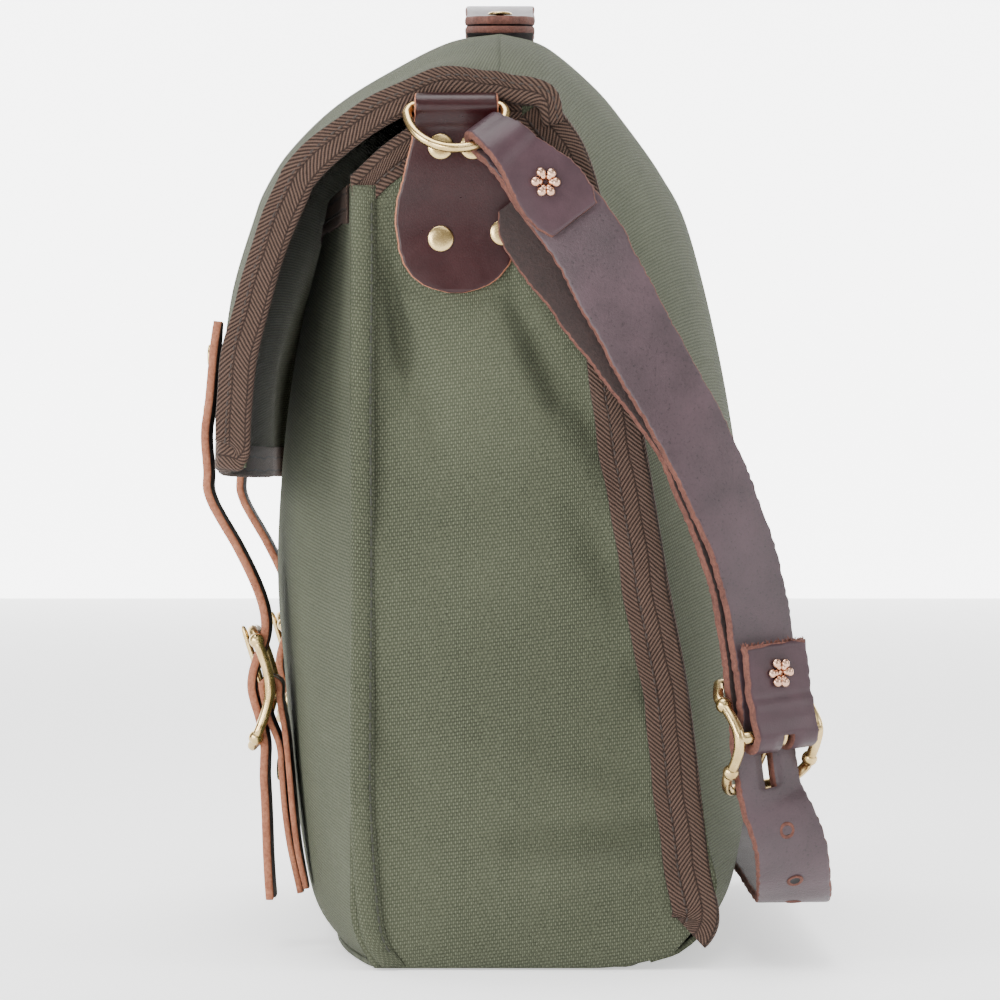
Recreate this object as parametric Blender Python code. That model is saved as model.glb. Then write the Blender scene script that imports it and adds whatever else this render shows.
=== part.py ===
"""Messenger bag: a canvas body and flap bound with tape, leather straps, brass hardware.

World frame: metres, +Z up, +X along the bag's width, the front (flap side) faces -Y.
The origin is the middle of the flat base.  Each moving body hangs from an empty that
stands on its joint's axis.
"""
import math

import bmesh
import bpy
from mathutils import Vector

MM = 0.001

# ---------------------------------------------------------------- driving dimensions
GAP = 0.3 * MM              # clearance between pieces that touch
CANVAS = 2.0 * MM           # doubled canvas
TAPE = 0.8 * MM             # herringbone binding tape
HALF_WIDTH = 185.0 * MM     # front, back and base panels, from the middle to the side seam
BACK_HALF = 183.7 * MM      # back panel's edge, inside the tape over the back seam
FLAP_HALF = 186.5 * MM      # flap canvas, from the middle to its raw edge
BULGE_POWER = 2.6           # how squarely the panels fill out between the gussets

STRAP_WIDTH = 25.0 * MM
CLOSURE_LEATHER = 3.0 * MM
SHOULDER_LEATHER = 3.5 * MM
TAB_LEATHER = 2.2 * MM
CLOSURE_X = 100.0 * MM      # middle line of each closure strap

WIRE = 1.8 * MM             # radius of the D-ring and buckle wire
BAR = 1.75 * MM             # radius of a front buckle's centre bar
RIVET_CAP = 4.35 * MM       # cap radius
RIVET_SHANK = 1.5 * MM

# hinge lines, as (y, z)
FLAP_HINGE = (22.0 * MM, 316.0 * MM)
FOLD_HINGE = (-80.0 * MM, 264.0 * MM)
RING_BAR = (194.5 * MM, -14.5 * MM, 288.0 * MM)
RING_RADIUS = 16.3 * MM
RING_DROP = 2.6 * MM        # straight ends of the D between its bar and the half circle
RING_TILT = math.radians(38.0)
EYE_ANGLE = math.radians(45.0)
BUCKLE_BAR = (-80.45 * MM, 91.0 * MM)

# Side profiles as (y, z) in millimetres: "end" is at the side seams, "middle" at x = 0.
FRONT_END = [(-50, 262), (-50, 205), (-50, 140), (-50, 90), (-50, 50), (-47, 14), (-40, 1)]
FRONT_MIDDLE = [(-62, 262), (-76, 205), (-82, 140), (-79, 90), (-75, 50), (-69, 16), (-59, 1)]
BACK_END = [(50, 2), (61, 6), (68, 16), (64, 45), (58, 90), (50, 145), (42, 195),
            (33, 245), (26, 269), (19, 286), (14, 294)]
BACK_MIDDLE = [(77, 8), (83, 17), (87, 33), (92, 62), (94, 105), (90, 155), (82, 208),
               (70, 256), (60, 276), (47, 294), (35, 308)]
TOP_END = [(13, 297), (0, 298), (-14, 296), (-28, 291), (-43, 284), (-57, 274), (-66, 265)]
TOP_MIDDLE = [(17, 323), (0, 327), (-18, 324), (-38, 314), (-60, 300), (-77, 283), (-86, 269)]
FLAP_END = [(-69, 259), (-77, 240), (-82, 222), (-86, 205), (-88, 187), (-89, 168)]
FLAP_MIDDLE = [(-90, 258), (-97, 235), (-100, 215), (-101, 200), (-102, 184), (-101, 167)]
BACK_SEAM = [(58, 0), (72, 14), (69, 37), (62.5, 91), (55.5, 130), (48.5, 172), (41.5, 215),
             (36, 245), (28, 274), (14, 294)]
MOUTH_END = [(-50, 264), (-38, 275), (-24, 284), (-8, 289), (12, 290)]

# shoulder strap, middle of the leather, from the ring to the buckle, millimetres
STRAP_SIDE = [(205.0, 27, 246), (206.0, 47, 209), (206.0, 67, 173), (205.0, 82, 137),
              (204.0, 88, 107), (203.5, 91, 80)]
STRAP_LOW = [(196.6, 89.2, 61), (197.2, 94, 49), (192.0, 97.5, 36), (181.0, 98.5, 27),
             (165.0, 99, 22.5), (120.0, 99, 22), (60.0, 99, 22), (0.0, 99, 22)]


# ------------------------------------------------------------------------- materials
def material(name, colour, roughness, metallic=0.0):
    mat = bpy.data.materials.new(name)
    mat.use_nodes = True
    shader = mat.node_tree.nodes["Principled BSDF"]
    shader.inputs["Base Color"].default_value = (*colour, 1.0)
    shader.inputs["Roughness"].default_value = roughness
    shader.inputs["Metallic"].default_value = metallic
    mat.diffuse_color = (*colour, 1.0)
    return mat


COLOURS = {
    "canvas": ((0.14, 0.145, 0.115), 0.9, 0.0),
    "tape": ((0.125, 0.10, 0.085), 0.85, 0.0),
    "leather": ((0.06, 0.03, 0.028), 0.45, 0.0),
    "strap": ((0.10, 0.07, 0.08), 0.4, 0.0),
    "brass": ((0.62, 0.52, 0.32), 0.3, 1.0),
}


def own_material(name, kind):
    colour, roughness, metallic = COLOURS[kind]
    return material(name + "_" + kind, colour, roughness, metallic)


# ------------------------------------------------------------------- mesh foundations
def clear_scene():
    for obj in list(bpy.data.objects):
        bpy.data.objects.remove(obj, do_unlink=True)


def body(name, location):
    """An empty that a group of pieces moves with, standing on the joint's axis."""
    empty = bpy.data.objects.new(name, None)
    empty.empty_display_size = 0.02
    empty.location = location
    bpy.context.collection.objects.link(empty)
    return empty


def add_object(name, verts, faces, kind, parent, smooth=False):
    """One closed mesh from world-space points, parented to its body's empty."""
    mesh = bpy.data.meshes.new(name)
    offset = Vector(parent.location)
    mesh.from_pydata([tuple(Vector(v) - offset) for v in verts], [], faces)
    work = bmesh.new()
    work.from_mesh(mesh)
    bmesh.ops.remove_doubles(work, verts=work.verts, dist=1e-6)
    bmesh.ops.recalc_face_normals(work, faces=work.faces)
    work.to_mesh(mesh)
    work.free()
    obj = bpy.data.objects.new(name, mesh)
    bpy.context.collection.objects.link(obj)
    obj.parent = parent
    mesh.materials.append(own_material(name, kind))
    for polygon in mesh.polygons:
        polygon.use_smooth = smooth
    return obj


def smooth_curve(points, count):
    """Catmull-Rom curve through the points, resampled to evenly spaced stations."""
    pts = [Vector(p) for p in points]
    pts = [pts[0] * 2 - pts[1]] + pts + [pts[-1] * 2 - pts[-2]]
    dense = []
    for i in range(1, len(pts) - 2):
        a, b, c, d = pts[i - 1], pts[i], pts[i + 1], pts[i + 2]
        for k in range(12):
            t = k / 12
            dense.append(0.5 * ((2 * b) + (c - a) * t + (2 * a - 5 * b + 4 * c - d) * t * t
                                + (3 * b - a - 3 * c + d) * t ** 3))
    dense.append(pts[-2])
    lengths = [0.0]
    for p, q in zip(dense, dense[1:]):
        lengths.append(lengths[-1] + (q - p).length)
    result = []
    for k in range(count):
        goal = lengths[-1] * k / (count - 1)
        j = 0
        while j < len(lengths) - 2 and lengths[j + 1] < goal:
            j += 1
        step = lengths[j + 1] - lengths[j]
        result.append(dense[j].lerp(dense[j + 1], (goal - lengths[j]) / step))
    return result


def fill(x, half):
    """How far the panel has filled out at x: 0 at the seam, 1 in the middle."""
    return max(0.0, 1.0 - abs(x / half) ** BULGE_POWER)


def profile_surface(end, middle, half, rows):
    """A function (x, row) -> point, between the end profile and the middle profile."""
    ends = smooth_curve([(0, y * MM, z * MM) for y, z in end], rows)
    middles = smooth_curve([(0, y * MM, z * MM) for y, z in middle], rows)

    def surface(x, row):
        low = min(int(row), rows - 2)
        part = row - low
        e = ends[low].lerp(ends[low + 1], part)
        m = middles[low].lerp(middles[low + 1], part)
        point = e.lerp(m, fill(x, half))
        return Vector((x, point.y, point.z))
    return surface


def surface_y(surface, rows, x, z):
    """Where a front-facing surface stands at (x, z)."""
    best = min(spread(0, rows - 1, 200), key=lambda row: abs(surface(x, row).z - z))
    return surface(x, best).y


def normal_at(surface, u, v, du, dv, inside):
    """Unit normal of a surface function, pointing away from the point `inside`."""
    p = surface(u, v)
    a = surface(u + du, v) - surface(u - du, v)
    b = surface(u, v + dv) - surface(u, v - dv)
    n = a.cross(b).normalized()
    if n.dot(p - inside) < 0:
        n = -n
    return n


def shell(name, points, normals, thickness, kind, parent):
    """Closed sheet: a grid of outer points, and the same grid moved inward."""
    rows, cols = len(points), len(points[0])
    verts = [p for row in points for p in row]
    verts += [p - n * thickness for prow, nrow in zip(points, normals)
              for p, n in zip(prow, nrow)]
    back = rows * cols
    faces = []
    for r in range(rows - 1):
        for c in range(cols - 1):
            a, b = r * cols + c, r * cols + c + 1
            d, e = a + cols, b + cols
            faces.append((a, b, e, d))
            faces.append((back + a, back + d, back + e, back + b))
    edge = [c for c in range(cols)]
    edge += [r * cols + cols - 1 for r in range(1, rows)]
    edge += [(rows - 1) * cols + c for c in range(cols - 2, -1, -1)]
    edge += [r * cols for r in range(rows - 2, 0, -1)]
    for a, b in zip(edge, edge[1:] + edge[:1]):
        faces.append((a, back + a, back + b, b))
    return add_object(name, verts, faces, kind, parent, smooth=True)


def sweep(name, rings, kind, parent, cyclic=False, smooth=False):
    """Join equal rings of points into a closed body, capped unless it is cyclic."""
    count = len(rings[0])
    verts = [p for ring in rings for p in ring]
    faces = []
    last = len(rings) if cyclic else len(rings) - 1
    for r in range(last):
        here, there = r * count, ((r + 1) % len(rings)) * count
        for k in range(count):
            m = (k + 1) % count
            faces.append((here + k, here + m, there + m, there + k))
    if not cyclic:
        faces.append(tuple(range(count))[::-1])
        faces.append(tuple((len(rings) - 1) * count + k for k in range(count)))
    return add_object(name, verts, faces, kind, parent, smooth)


def tape(name, stations, sheet, leg, parent, slack=0.5 * MM):
    """Binding folded over an edge.

    Each station is a function d -> (mid-surface point, normal) for the distance d in
    from the edge.  `sheet` is the thickness of what the tape holds, `slack` the clearance.
    """
    inner = sheet / 2 + slack
    outer = inner + TAPE
    depths = [leg, leg * 0.5, 0.0]
    rings = []
    for station in stations:
        ring = []
        for d in depths:
            p, n = station(d)
            ring.append(p + n * outer)
        edge, n = station(0.0)
        deeper, _ = station(1.0 * MM)
        out = (edge - deeper).normalized()
        ring.append(edge + out * (TAPE + GAP) + n * outer * 0.75)
        ring.append(edge + out * (TAPE + GAP) - n * outer * 0.75)
        for d in reversed(depths):
            p, n = station(d)
            ring.append(p - n * outer)
        for d in depths:
            p, n = station(d)
            ring.append(p - n * inner)
        edge, n = station(0.0)
        ring.append(edge + out * GAP - n * inner)
        ring.append(edge + out * GAP + n * inner)
        for d in reversed(depths):
            p, n = station(d)
            ring.append(p + n * inner)
        rings.append(ring)
    return sweep(name, rings, "tape", parent)


def band_frames(points, normals):
    """Tangent-square frames (point, width direction, normal) along a strap."""
    frames = []
    for i, p in enumerate(points):
        before, after = points[max(i - 1, 0)], points[min(i + 1, len(points) - 1)]
        tangent = (after - before).normalized()
        n = normals[i] - tangent * normals[i].dot(tangent)
        n.normalize()
        frames.append((p, tangent.cross(n).normalized(), n))
    return frames


def square_normals(points, normals):
    return [n for _, _, n in band_frames(points, normals)]


def band(name, points, normals, widths, thickness, kind, parent):
    """A leather strap with small bevelled edges."""
    rings = []
    h = thickness / 2
    ease = 0.5 * MM
    for (p, w, n), width in zip(band_frames(points, normals), widths):
        half = width / 2
        ring = []
        for a, b in ((-half + ease, -h), (half - ease, -h), (half, -h + ease), (half, h - ease),
                     (half - ease, h), (-half + ease, h), (-half, h - ease), (-half, -h + ease)):
            ring.append(p + w * a + n * b)
        rings.append(ring)
    return sweep(name, rings, kind, parent)


def tube(name, points, radius, kind, parent, cyclic=False, sides=8):
    """Round wire along a smooth path."""
    rings = []
    count = len(points)
    side = None
    for i, p in enumerate(points):
        if cyclic:
            tangent = points[(i + 1) % count] - points[i - 1]
        else:
            tangent = points[min(i + 1, count - 1)] - points[max(i - 1, 0)]
        tangent.normalize()
        if side is None:
            side = tangent.orthogonal()
        side = (side - tangent * side.dot(tangent)).normalized()
        up = tangent.cross(side)
        rings.append([p + (side * math.cos(a) + up * math.sin(a)) * radius
                      for a in (2 * math.pi * k / sides for k in range(sides))])
    if not cyclic:
        return sweep(name, rings, kind, parent, smooth=True)
    # A closed loop is walked with a frame that may come back turned: line the rings up.
    first, last = rings[0], rings[-1]
    shift = min(range(sides), key=lambda k: (first[0] - last[k]).length)
    twisted = []
    for i, ring in enumerate(rings):
        turn = round(shift * i / (count - 1))
        twisted.append(ring[turn:] + ring[:turn])
    return sweep(name, twisted, kind, parent, cyclic=True, smooth=True)


def lathe(name, outline, origin, axis, kind, parent, sides=20, petals=0, depth=0.0):
    """Turned piece: outline is (distance along the axis, radius) from tip to tip."""
    side = axis.orthogonal().normalized()
    up = axis.cross(side).normalized()
    verts, faces, rings = [], [], []
    for along, radius in outline:
        base = origin + axis * along
        if radius < 1e-9:
            rings.append([len(verts)])
            verts.append(base)
            continue
        ring = []
        for k in range(sides):
            a = 2 * math.pi * k / sides
            r = radius
            if petals and radius > 2.0 * RIVET_SHANK:
                r *= 1.0 - depth * 0.5 * (1.0 - math.cos(petals * a))
            ring.append(len(verts))
            verts.append(base + side * r * math.cos(a) + up * r * math.sin(a))
        rings.append(ring)
    for low, high in zip(rings, rings[1:]):
        for k in range(sides):
            m = (k + 1) % sides
            if len(low) == 1:
                faces.append((low[0], high[m], high[k]))
            elif len(high) == 1:
                faces.append((low[k], low[m], high[0]))
            else:
                faces.append((low[k], low[m], high[m], high[k]))
    return add_object(name, verts, faces, kind, parent, smooth=True)


def hidden(obj):
    obj.hide_render = True
    obj.display_type = "WIRE"
    obj.data.materials.clear()
    return obj


def cut(target, cutter):
    modifier = target.modifiers.new("cut_" + cutter.name, "BOOLEAN")
    modifier.operation = "DIFFERENCE"
    modifier.solver = "EXACT"
    modifier.object = cutter


def rivet(name, front, axis, grip, parent, layers, cap=RIVET_CAP, petals=0, depth=0.0):
    """Rivet through `layers`: `front` is on the outer face, `axis` points outward.

    `grip` is the depth of the stack it holds.  Each layer gets a hole a little wider
    than the shank.
    """
    dome = 1.1 * MM
    washer = 0.9 * MM
    shank = RIVET_SHANK
    outline = [(GAP + dome, 0), (GAP + dome * 0.9, cap * 0.6), (GAP + dome * 0.45, cap),
               (GAP, cap), (GAP, shank), (-grip - GAP, shank), (-grip - GAP, cap * 0.8),
               (-grip - GAP - washer, cap * 0.8), (-grip - GAP - washer, 0)]
    made = lathe(name, outline, front, axis, "brass", parent,
                 sides=24 if petals else 12, petals=petals, depth=depth)
    hole = lathe(name + "_hole", [(3 * MM, 0), (3 * MM, shank + GAP),
                                  (-grip - 3 * MM, shank + GAP), (-grip - 3 * MM, 0)],
                 front, axis, "brass", parent, sides=10)
    hidden(hole)
    for layer in layers:
        cut(layer, hole)
    return made


def box_cutter(name, centre, axes, sizes, parent):
    verts = []
    for i in (-1, 1):
        for j in (-1, 1):
            for k in (-1, 1):
                verts.append(centre + axes[0] * (i * sizes[0] / 2) + axes[1] * (j * sizes[1] / 2)
                             + axes[2] * (k * sizes[2] / 2))
    faces = [(0, 1, 3, 2), (4, 6, 7, 5), (0, 4, 5, 1), (2, 3, 7, 6), (0, 2, 6, 4), (1, 5, 7, 3)]
    return hidden(add_object(name, verts, faces, "brass", parent))


def spread(low, high, count):
    return [low + (high - low) * k / (count - 1) for k in range(count)]


# ------------------------------------------------------------------------------ bodies
clear_scene()
BAG = body("bag", (0, 0, 0))
FLAP_TOP = body("flap_top_hinge", (0, *FLAP_HINGE))
FLAP_FRONT = body("flap_front_hinge", (0, *FOLD_HINGE))
STRAP = body("shoulder_strap_hinge", (0, RING_BAR[1], RING_BAR[2]))
SIDES = {"right": 1, "left": -1}
RING_BODY = {side: body("ring_hinge_" + side, (sign * RING_BAR[0], RING_BAR[1], RING_BAR[2]))
             for side, sign in SIDES.items()}
PRONG_BODY = {side: body("prong_hinge_" + side, (sign * CLOSURE_X, *BUCKLE_BAR))
              for side, sign in SIDES.items()}
MIDDLE = Vector((0, 0, 0.14))


# --------------------------------------------------------------------- canvas panels
def panel(name, surface, rows, half, parent, columns=17, thickness=CANVAS):
    xs = spread(-half, half, columns)
    points, normals = [], []
    for row in range(rows):
        points.append([surface(x, row) for x in xs])
        normals.append([normal_at(surface, x * 0.999, min(max(row, 0.02), rows - 1.02),
                                  0.0005, 0.01, Vector((x * 0.6, 0, 0.14))) for x in xs])
    return shell(name, points, normals, thickness, "canvas", parent)


FRONT_ROWS, BACK_ROWS, TOP_ROWS, FLAP_ROWS = 12, 16, 11, 9
front_surface = profile_surface(FRONT_END, FRONT_MIDDLE, HALF_WIDTH, FRONT_ROWS)
back_surface = profile_surface(BACK_END, BACK_MIDDLE, HALF_WIDTH, BACK_ROWS)
top_surface = profile_surface(TOP_END, TOP_MIDDLE, FLAP_HALF + 1 * MM, TOP_ROWS)
flap_surface = profile_surface(FLAP_END, FLAP_MIDDLE, FLAP_HALF + 1 * MM, FLAP_ROWS)

front_panel = panel("front_panel", front_surface, FRONT_ROWS, HALF_WIDTH, BAG)
back_panel = panel("back_panel", back_surface, BACK_ROWS, BACK_HALF, BAG)
flap_top = panel("flap_top", top_surface, TOP_ROWS, FLAP_HALF, FLAP_TOP)
flap_front = panel("flap_front", flap_surface, FLAP_ROWS, FLAP_HALF, FLAP_FRONT)


def base_point(x, part):
    """Flat base between the lower edges of the front and back panels."""
    w = fill(x, HALF_WIDTH)
    front = -36.0 * MM - 18.0 * MM * w
    back = 40.0 * MM + 32.0 * MM * w
    return Vector((x, front + (back - front) * part, 0.0))


base_points = [[base_point(x, part) for part in spread(0, 1, 7)]
               for x in spread(-HALF_WIDTH, HALF_WIDTH, 17)]
base_normals = [[Vector((0, 0, -1)) for _ in row] for row in base_points]
base_panel = shell("base_panel", base_points, base_normals, CANVAS, "canvas", BAG)


# --------------------------------------------------------------------- side gussets
def gusset_surface(sign):
    """(u, t) -> outer point; u runs front to back, t from the base to the mouth."""
    mouth = smooth_curve([(0, y * MM, z * MM) for y, z in MOUTH_END], 24)
    seam = smooth_curve([(0, y * MM, z * MM) for y, z in BACK_SEAM], 60)

    def mouth_height(y):
        for p, q in zip(mouth, mouth[1:]):
            if p.y <= y <= q.y:
                return p.z + (q.z - p.z) * (y - p.y) / (q.y - p.y)
        return mouth[0].z if y < mouth[0].y else mouth[-1].z

    def surface(u, t):
        front = -50.0 * MM + 8.0 * MM * max(0.0, 1 - t / 0.08) ** 2
        back = min(seam, key=lambda p: abs(p.z - 0.291 * t)).y
        y = front + (back - front) * u
        low = 0.4 * MM + 11.0 * MM * max(0.0, (y - 0.030) / 0.042) ** 2
        z = low + (mouth_height(y) - low) * t
        swell = 2.4 * MM * (4 * u * (1 - u)) ** 0.8 * (4 * t * (1 - t)) ** 0.5
        return Vector((sign * (HALF_WIDTH + GAP + CANVAS + swell), y, z))
    return surface


gusset, back_binding, mouth_side = {}, {}, {}
for side, sign in SIDES.items():
    surface = gusset_surface(sign)
    us, ts = spread(0, 1, 9), spread(0, 1, 17)
    points = [[surface(u, t) for u in us] for t in ts]
    outward = Vector((sign, 0, 0))
    normals = [[outward for _ in us] for _ in ts]
    gusset[side] = shell("side_gusset_" + side, points, normals, CANVAS, "canvas", BAG)
    # the tape over the back seam holds the gusset's edge, clear of the back panel
    middle = outward * (CANVAS / 2)
    stations = []
    for t in spread(0.0625, 1.0, 16):
        stations.append(lambda d, t=t, s=surface: (s(1 - d / (s(1, t) - s(0, t)).length, t)
                                                   - middle, outward))
    back_binding[side] = tape("back_binding_" + side, stations, CANVAS, 6.5 * MM, BAG)
    stations = []
    for u in spread(0.06, 0.89, 10):
        stations.append(lambda d, u=u, s=surface: (s(u, 1 - d / 0.27) - middle, outward))
    mouth_side[side] = tape("mouth_binding_" + side, stations, CANVAS, 12 * MM, BAG)


# ------------------------------------------------------------------ tape on the edges
def edge_stations(surface, rows, xs, end_row, inside_step, parent_inside):
    """Stations across the width, along the first or last row of a panel."""
    stations = []
    for x in xs:
        def station(d, x=x):
            row = end_row + inside_step * d
            p = surface(x, row)
            n = normal_at(surface, x * 0.999, min(max(row, 0.02), rows - 1.02), 0.0005, 0.01,
                          parent_inside)
            return p - n * (CANVAS / 2), n
        stations.append(station)
    return stations


def row_length(surface, rows):
    return (surface(0, rows - 1) - surface(0, rows - 2)).length


step = 1.0 / row_length(front_surface, FRONT_ROWS)
mouth_front = tape("mouth_binding_front",
                   edge_stations(front_surface, FRONT_ROWS, spread(-0.180, 0.180, 17), 0, step,
                                 MIDDLE), CANVAS, 12 * MM, BAG)

for side, sign in SIDES.items():
    stations = []
    for row in spread(0.0, TOP_ROWS - 1.0, 14):
        def station(d, row=row, sign=sign):
            x = sign * (FLAP_HALF - d)
            n = normal_at(top_surface, x * 0.999, min(max(row, 0.02), TOP_ROWS - 1.02),
                          0.0005, 0.01, MIDDLE)
            return top_surface(x, row) - n * (CANVAS / 2), n
        stations.append(station)
    tape("flap_binding_" + side, stations, CANVAS, 14 * MM, FLAP_TOP)

flap_step = 1.0 / row_length(flap_surface, FLAP_ROWS)
stations = []
corner_row = FLAP_ROWS - 1.0


def flap_station(x, row, dx, drow):
    """Station on the front flap's border; (dx, drow) points in from the edge."""
    def station(d):
        xx, rr = x + dx * d, row + drow * d * flap_step
        n = normal_at(flap_surface, xx * 0.999, min(max(rr, 0.02), FLAP_ROWS - 1.02),
                      0.0005, 0.01, MIDDLE)
        return flap_surface(xx, rr) - n * (CANVAS / 2), n
    return station


for row in spread(0.0, corner_row - 1.0, 8):
    stations.append(flap_station(FLAP_HALF, row, -1, 0))
stations.append(flap_station(FLAP_HALF, corner_row, -1, -1))
for x in spread(0.165, -0.165, 15):
    stations.append(flap_station(x, corner_row, 0, -1))
stations.append(flap_station(-FLAP_HALF, corner_row, 1, -1))
for row in spread(corner_row - 1.0, 0.0, 8):
    stations.append(flap_station(-FLAP_HALF, row, 1, 0))
flap_border = tape("flap_binding_front", stations, CANVAS, 14 * MM, FLAP_FRONT)

# ------------------------------------------------ ring tabs and D-rings on the gussets
TAB_BACK = 190.2 * MM       # the tab's inner face, just off the gusset
ring, ring_tab = {}, {}
for side, sign in SIDES.items():
    roll = WIRE + GAP + TAB_LEATHER / 2
    bar_x, bar_y, bar_z = RING_BAR
    path, widths, normals = [], [], []
    low_x = TAB_BACK + TAB_LEATHER / 2
    top_x = low_x + TAB_LEATHER + 0.2 * MM
    # outer layer, from the rounded foot of the lobe up to the roll
    lobe = [(227.0, 14), (228.5, 22), (231.0, 29), (235.0, 35), (240.0, 39), (248.0, 41),
            (256.0, 40), (262.0, 37)]
    for z, width in lobe:
        path.append(Vector((low_x, bar_y, z * MM)))
        widths.append(width * MM)
    for z, x, width in ((268.0, top_x, 34), (276.0, top_x, 30), (282.0, top_x + 0.4 * MM, 28)):
        path.append(Vector((x, bar_y, z * MM)))
        widths.append(width * MM)
    normals = [Vector((1, 0, 0)) for _ in path]
    for k in range(9):
        a = math.radians(-10 + 200 * k / 8)
        path.append(Vector((bar_x + roll * math.cos(a), bar_y, bar_z + roll * math.sin(a))))
        normals.append(Vector((math.cos(a), 0, math.sin(a))))
        widths.append(28 * MM)
    for z, width in ((281.0, 28), (276.0, 28), (270.5, 26)):
        path.append(Vector((low_x, bar_y, z * MM)))
        normals.append(Vector((-1, 0, 0)))
        widths.append(width * MM)
    path = [Vector((sign * p.x, p.y, p.z)) for p in path]
    normals = [Vector((sign * n.x, n.y, n.z)) for n in normals]
    ring_tab[side] = band("ring_tab_" + side, path, normals, widths, TAB_LEATHER, "leather", BAG)
    # D-ring: straight bar in the roll, half circle below it
    down = Vector((sign * math.sin(RING_TILT), 0, -math.cos(RING_TILT)))
    centre = Vector((sign * bar_x, bar_y, bar_z))
    along = Vector((0, 1, 0))
    loop = [centre + along * y for y in spread(-RING_RADIUS * 0.86, RING_RADIUS * 0.86, 7)]
    for k in range(21):
        a = math.pi * k / 20
        loop.append(centre + along * RING_RADIUS * math.cos(a)
                    + down * (RING_RADIUS * math.sin(a) + RING_DROP))
    ring[side] = tube("ring_" + side, loop, WIRE, "brass", RING_BODY[side], cyclic=True)
    outward = Vector((sign, 0, 0))
    holes = [("a", -19.7, 244.0, False), ("b", 1.0, 246.0, False),
             ("c", -19.7, 274.5, True), ("d", -9.0, 274.5, True)]
    for letter, y, z, double in holes:
        x = (top_x if double else low_x) + TAB_LEATHER / 2
        inner = HALF_WIDTH + (0.2 * MM if double else GAP + 1.0 * MM)
        rivet("ring_rivet_%s_%s" % (letter, side), Vector((sign * x, y * MM, z * MM)), outward,
              x - inner + 1.3 * MM, BAG, [ring_tab[side], gusset[side]]
              + ([mouth_side[side]] if double else []))

# ------------------------------------------------------------ front buckles and straps
def buckle_loop(centre, across, up, out, rise, half_width, height):
    """Closed wire path of a centre-bar buckle: end bars stand off the centre bar."""
    loop = []
    corner = 4.0 * MM
    for part in spread(-1, 1, 5):
        loop.append((part * (half_width - corner), height / 2))
    for part in spread(1, -1, 10):
        loop.append((half_width, part * (height / 2 - corner)))
    for part in spread(1, -1, 5):
        loop.append((part * (half_width - corner), -height / 2))
    for part in spread(-1, 1, 10):
        loop.append((-half_width, part * (height / 2 - corner)))
    result = []
    for a, b in loop:
        bow = min(1.0, abs(b) / (height / 2)) ** 1.6
        result.append(centre + across * a + up * b + out * (rise * bow))
    return result


def buckle(name, centre, across, up, out, rise, half_width, height, bar, parent):
    frame = tube(name, buckle_loop(centre, across, up, out, rise, half_width, height),
                 WIRE, "brass", parent, cyclic=True)
    ends = spread(-half_width, half_width, 5)
    centre_bar = tube(name + "_bar", [centre + across * a for a in ends], bar, "brass", parent,
                      sides=12)
    hidden(centre_bar)
    join = frame.modifiers.new("centre_bar", "BOOLEAN")
    join.operation = "UNION"
    join.solver = "EXACT"
    join.object = centre_bar
    return frame


def prong(name, centre, up, out, bar, tip, parent, radius=1.1 * MM):
    """Bent wire: most of a turn round the bar, then straight on to its tip."""
    curl = bar + GAP + radius
    start = math.atan2(tip[1], tip[0])
    path = []
    for k in range(13):
        a = start - math.radians(8) - math.radians(275) * (1 - k / 12) + math.radians(80)
        path.append(centre + (up * math.cos(a) + out * math.sin(a)) * curl)
    end = centre + up * tip[0] + out * tip[1]
    leave = path[-1]
    for part in (0.3, 0.65, 1.0):
        path.append(leave.lerp(end, part))
    return tube(name, path, radius, "brass", parent)


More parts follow.
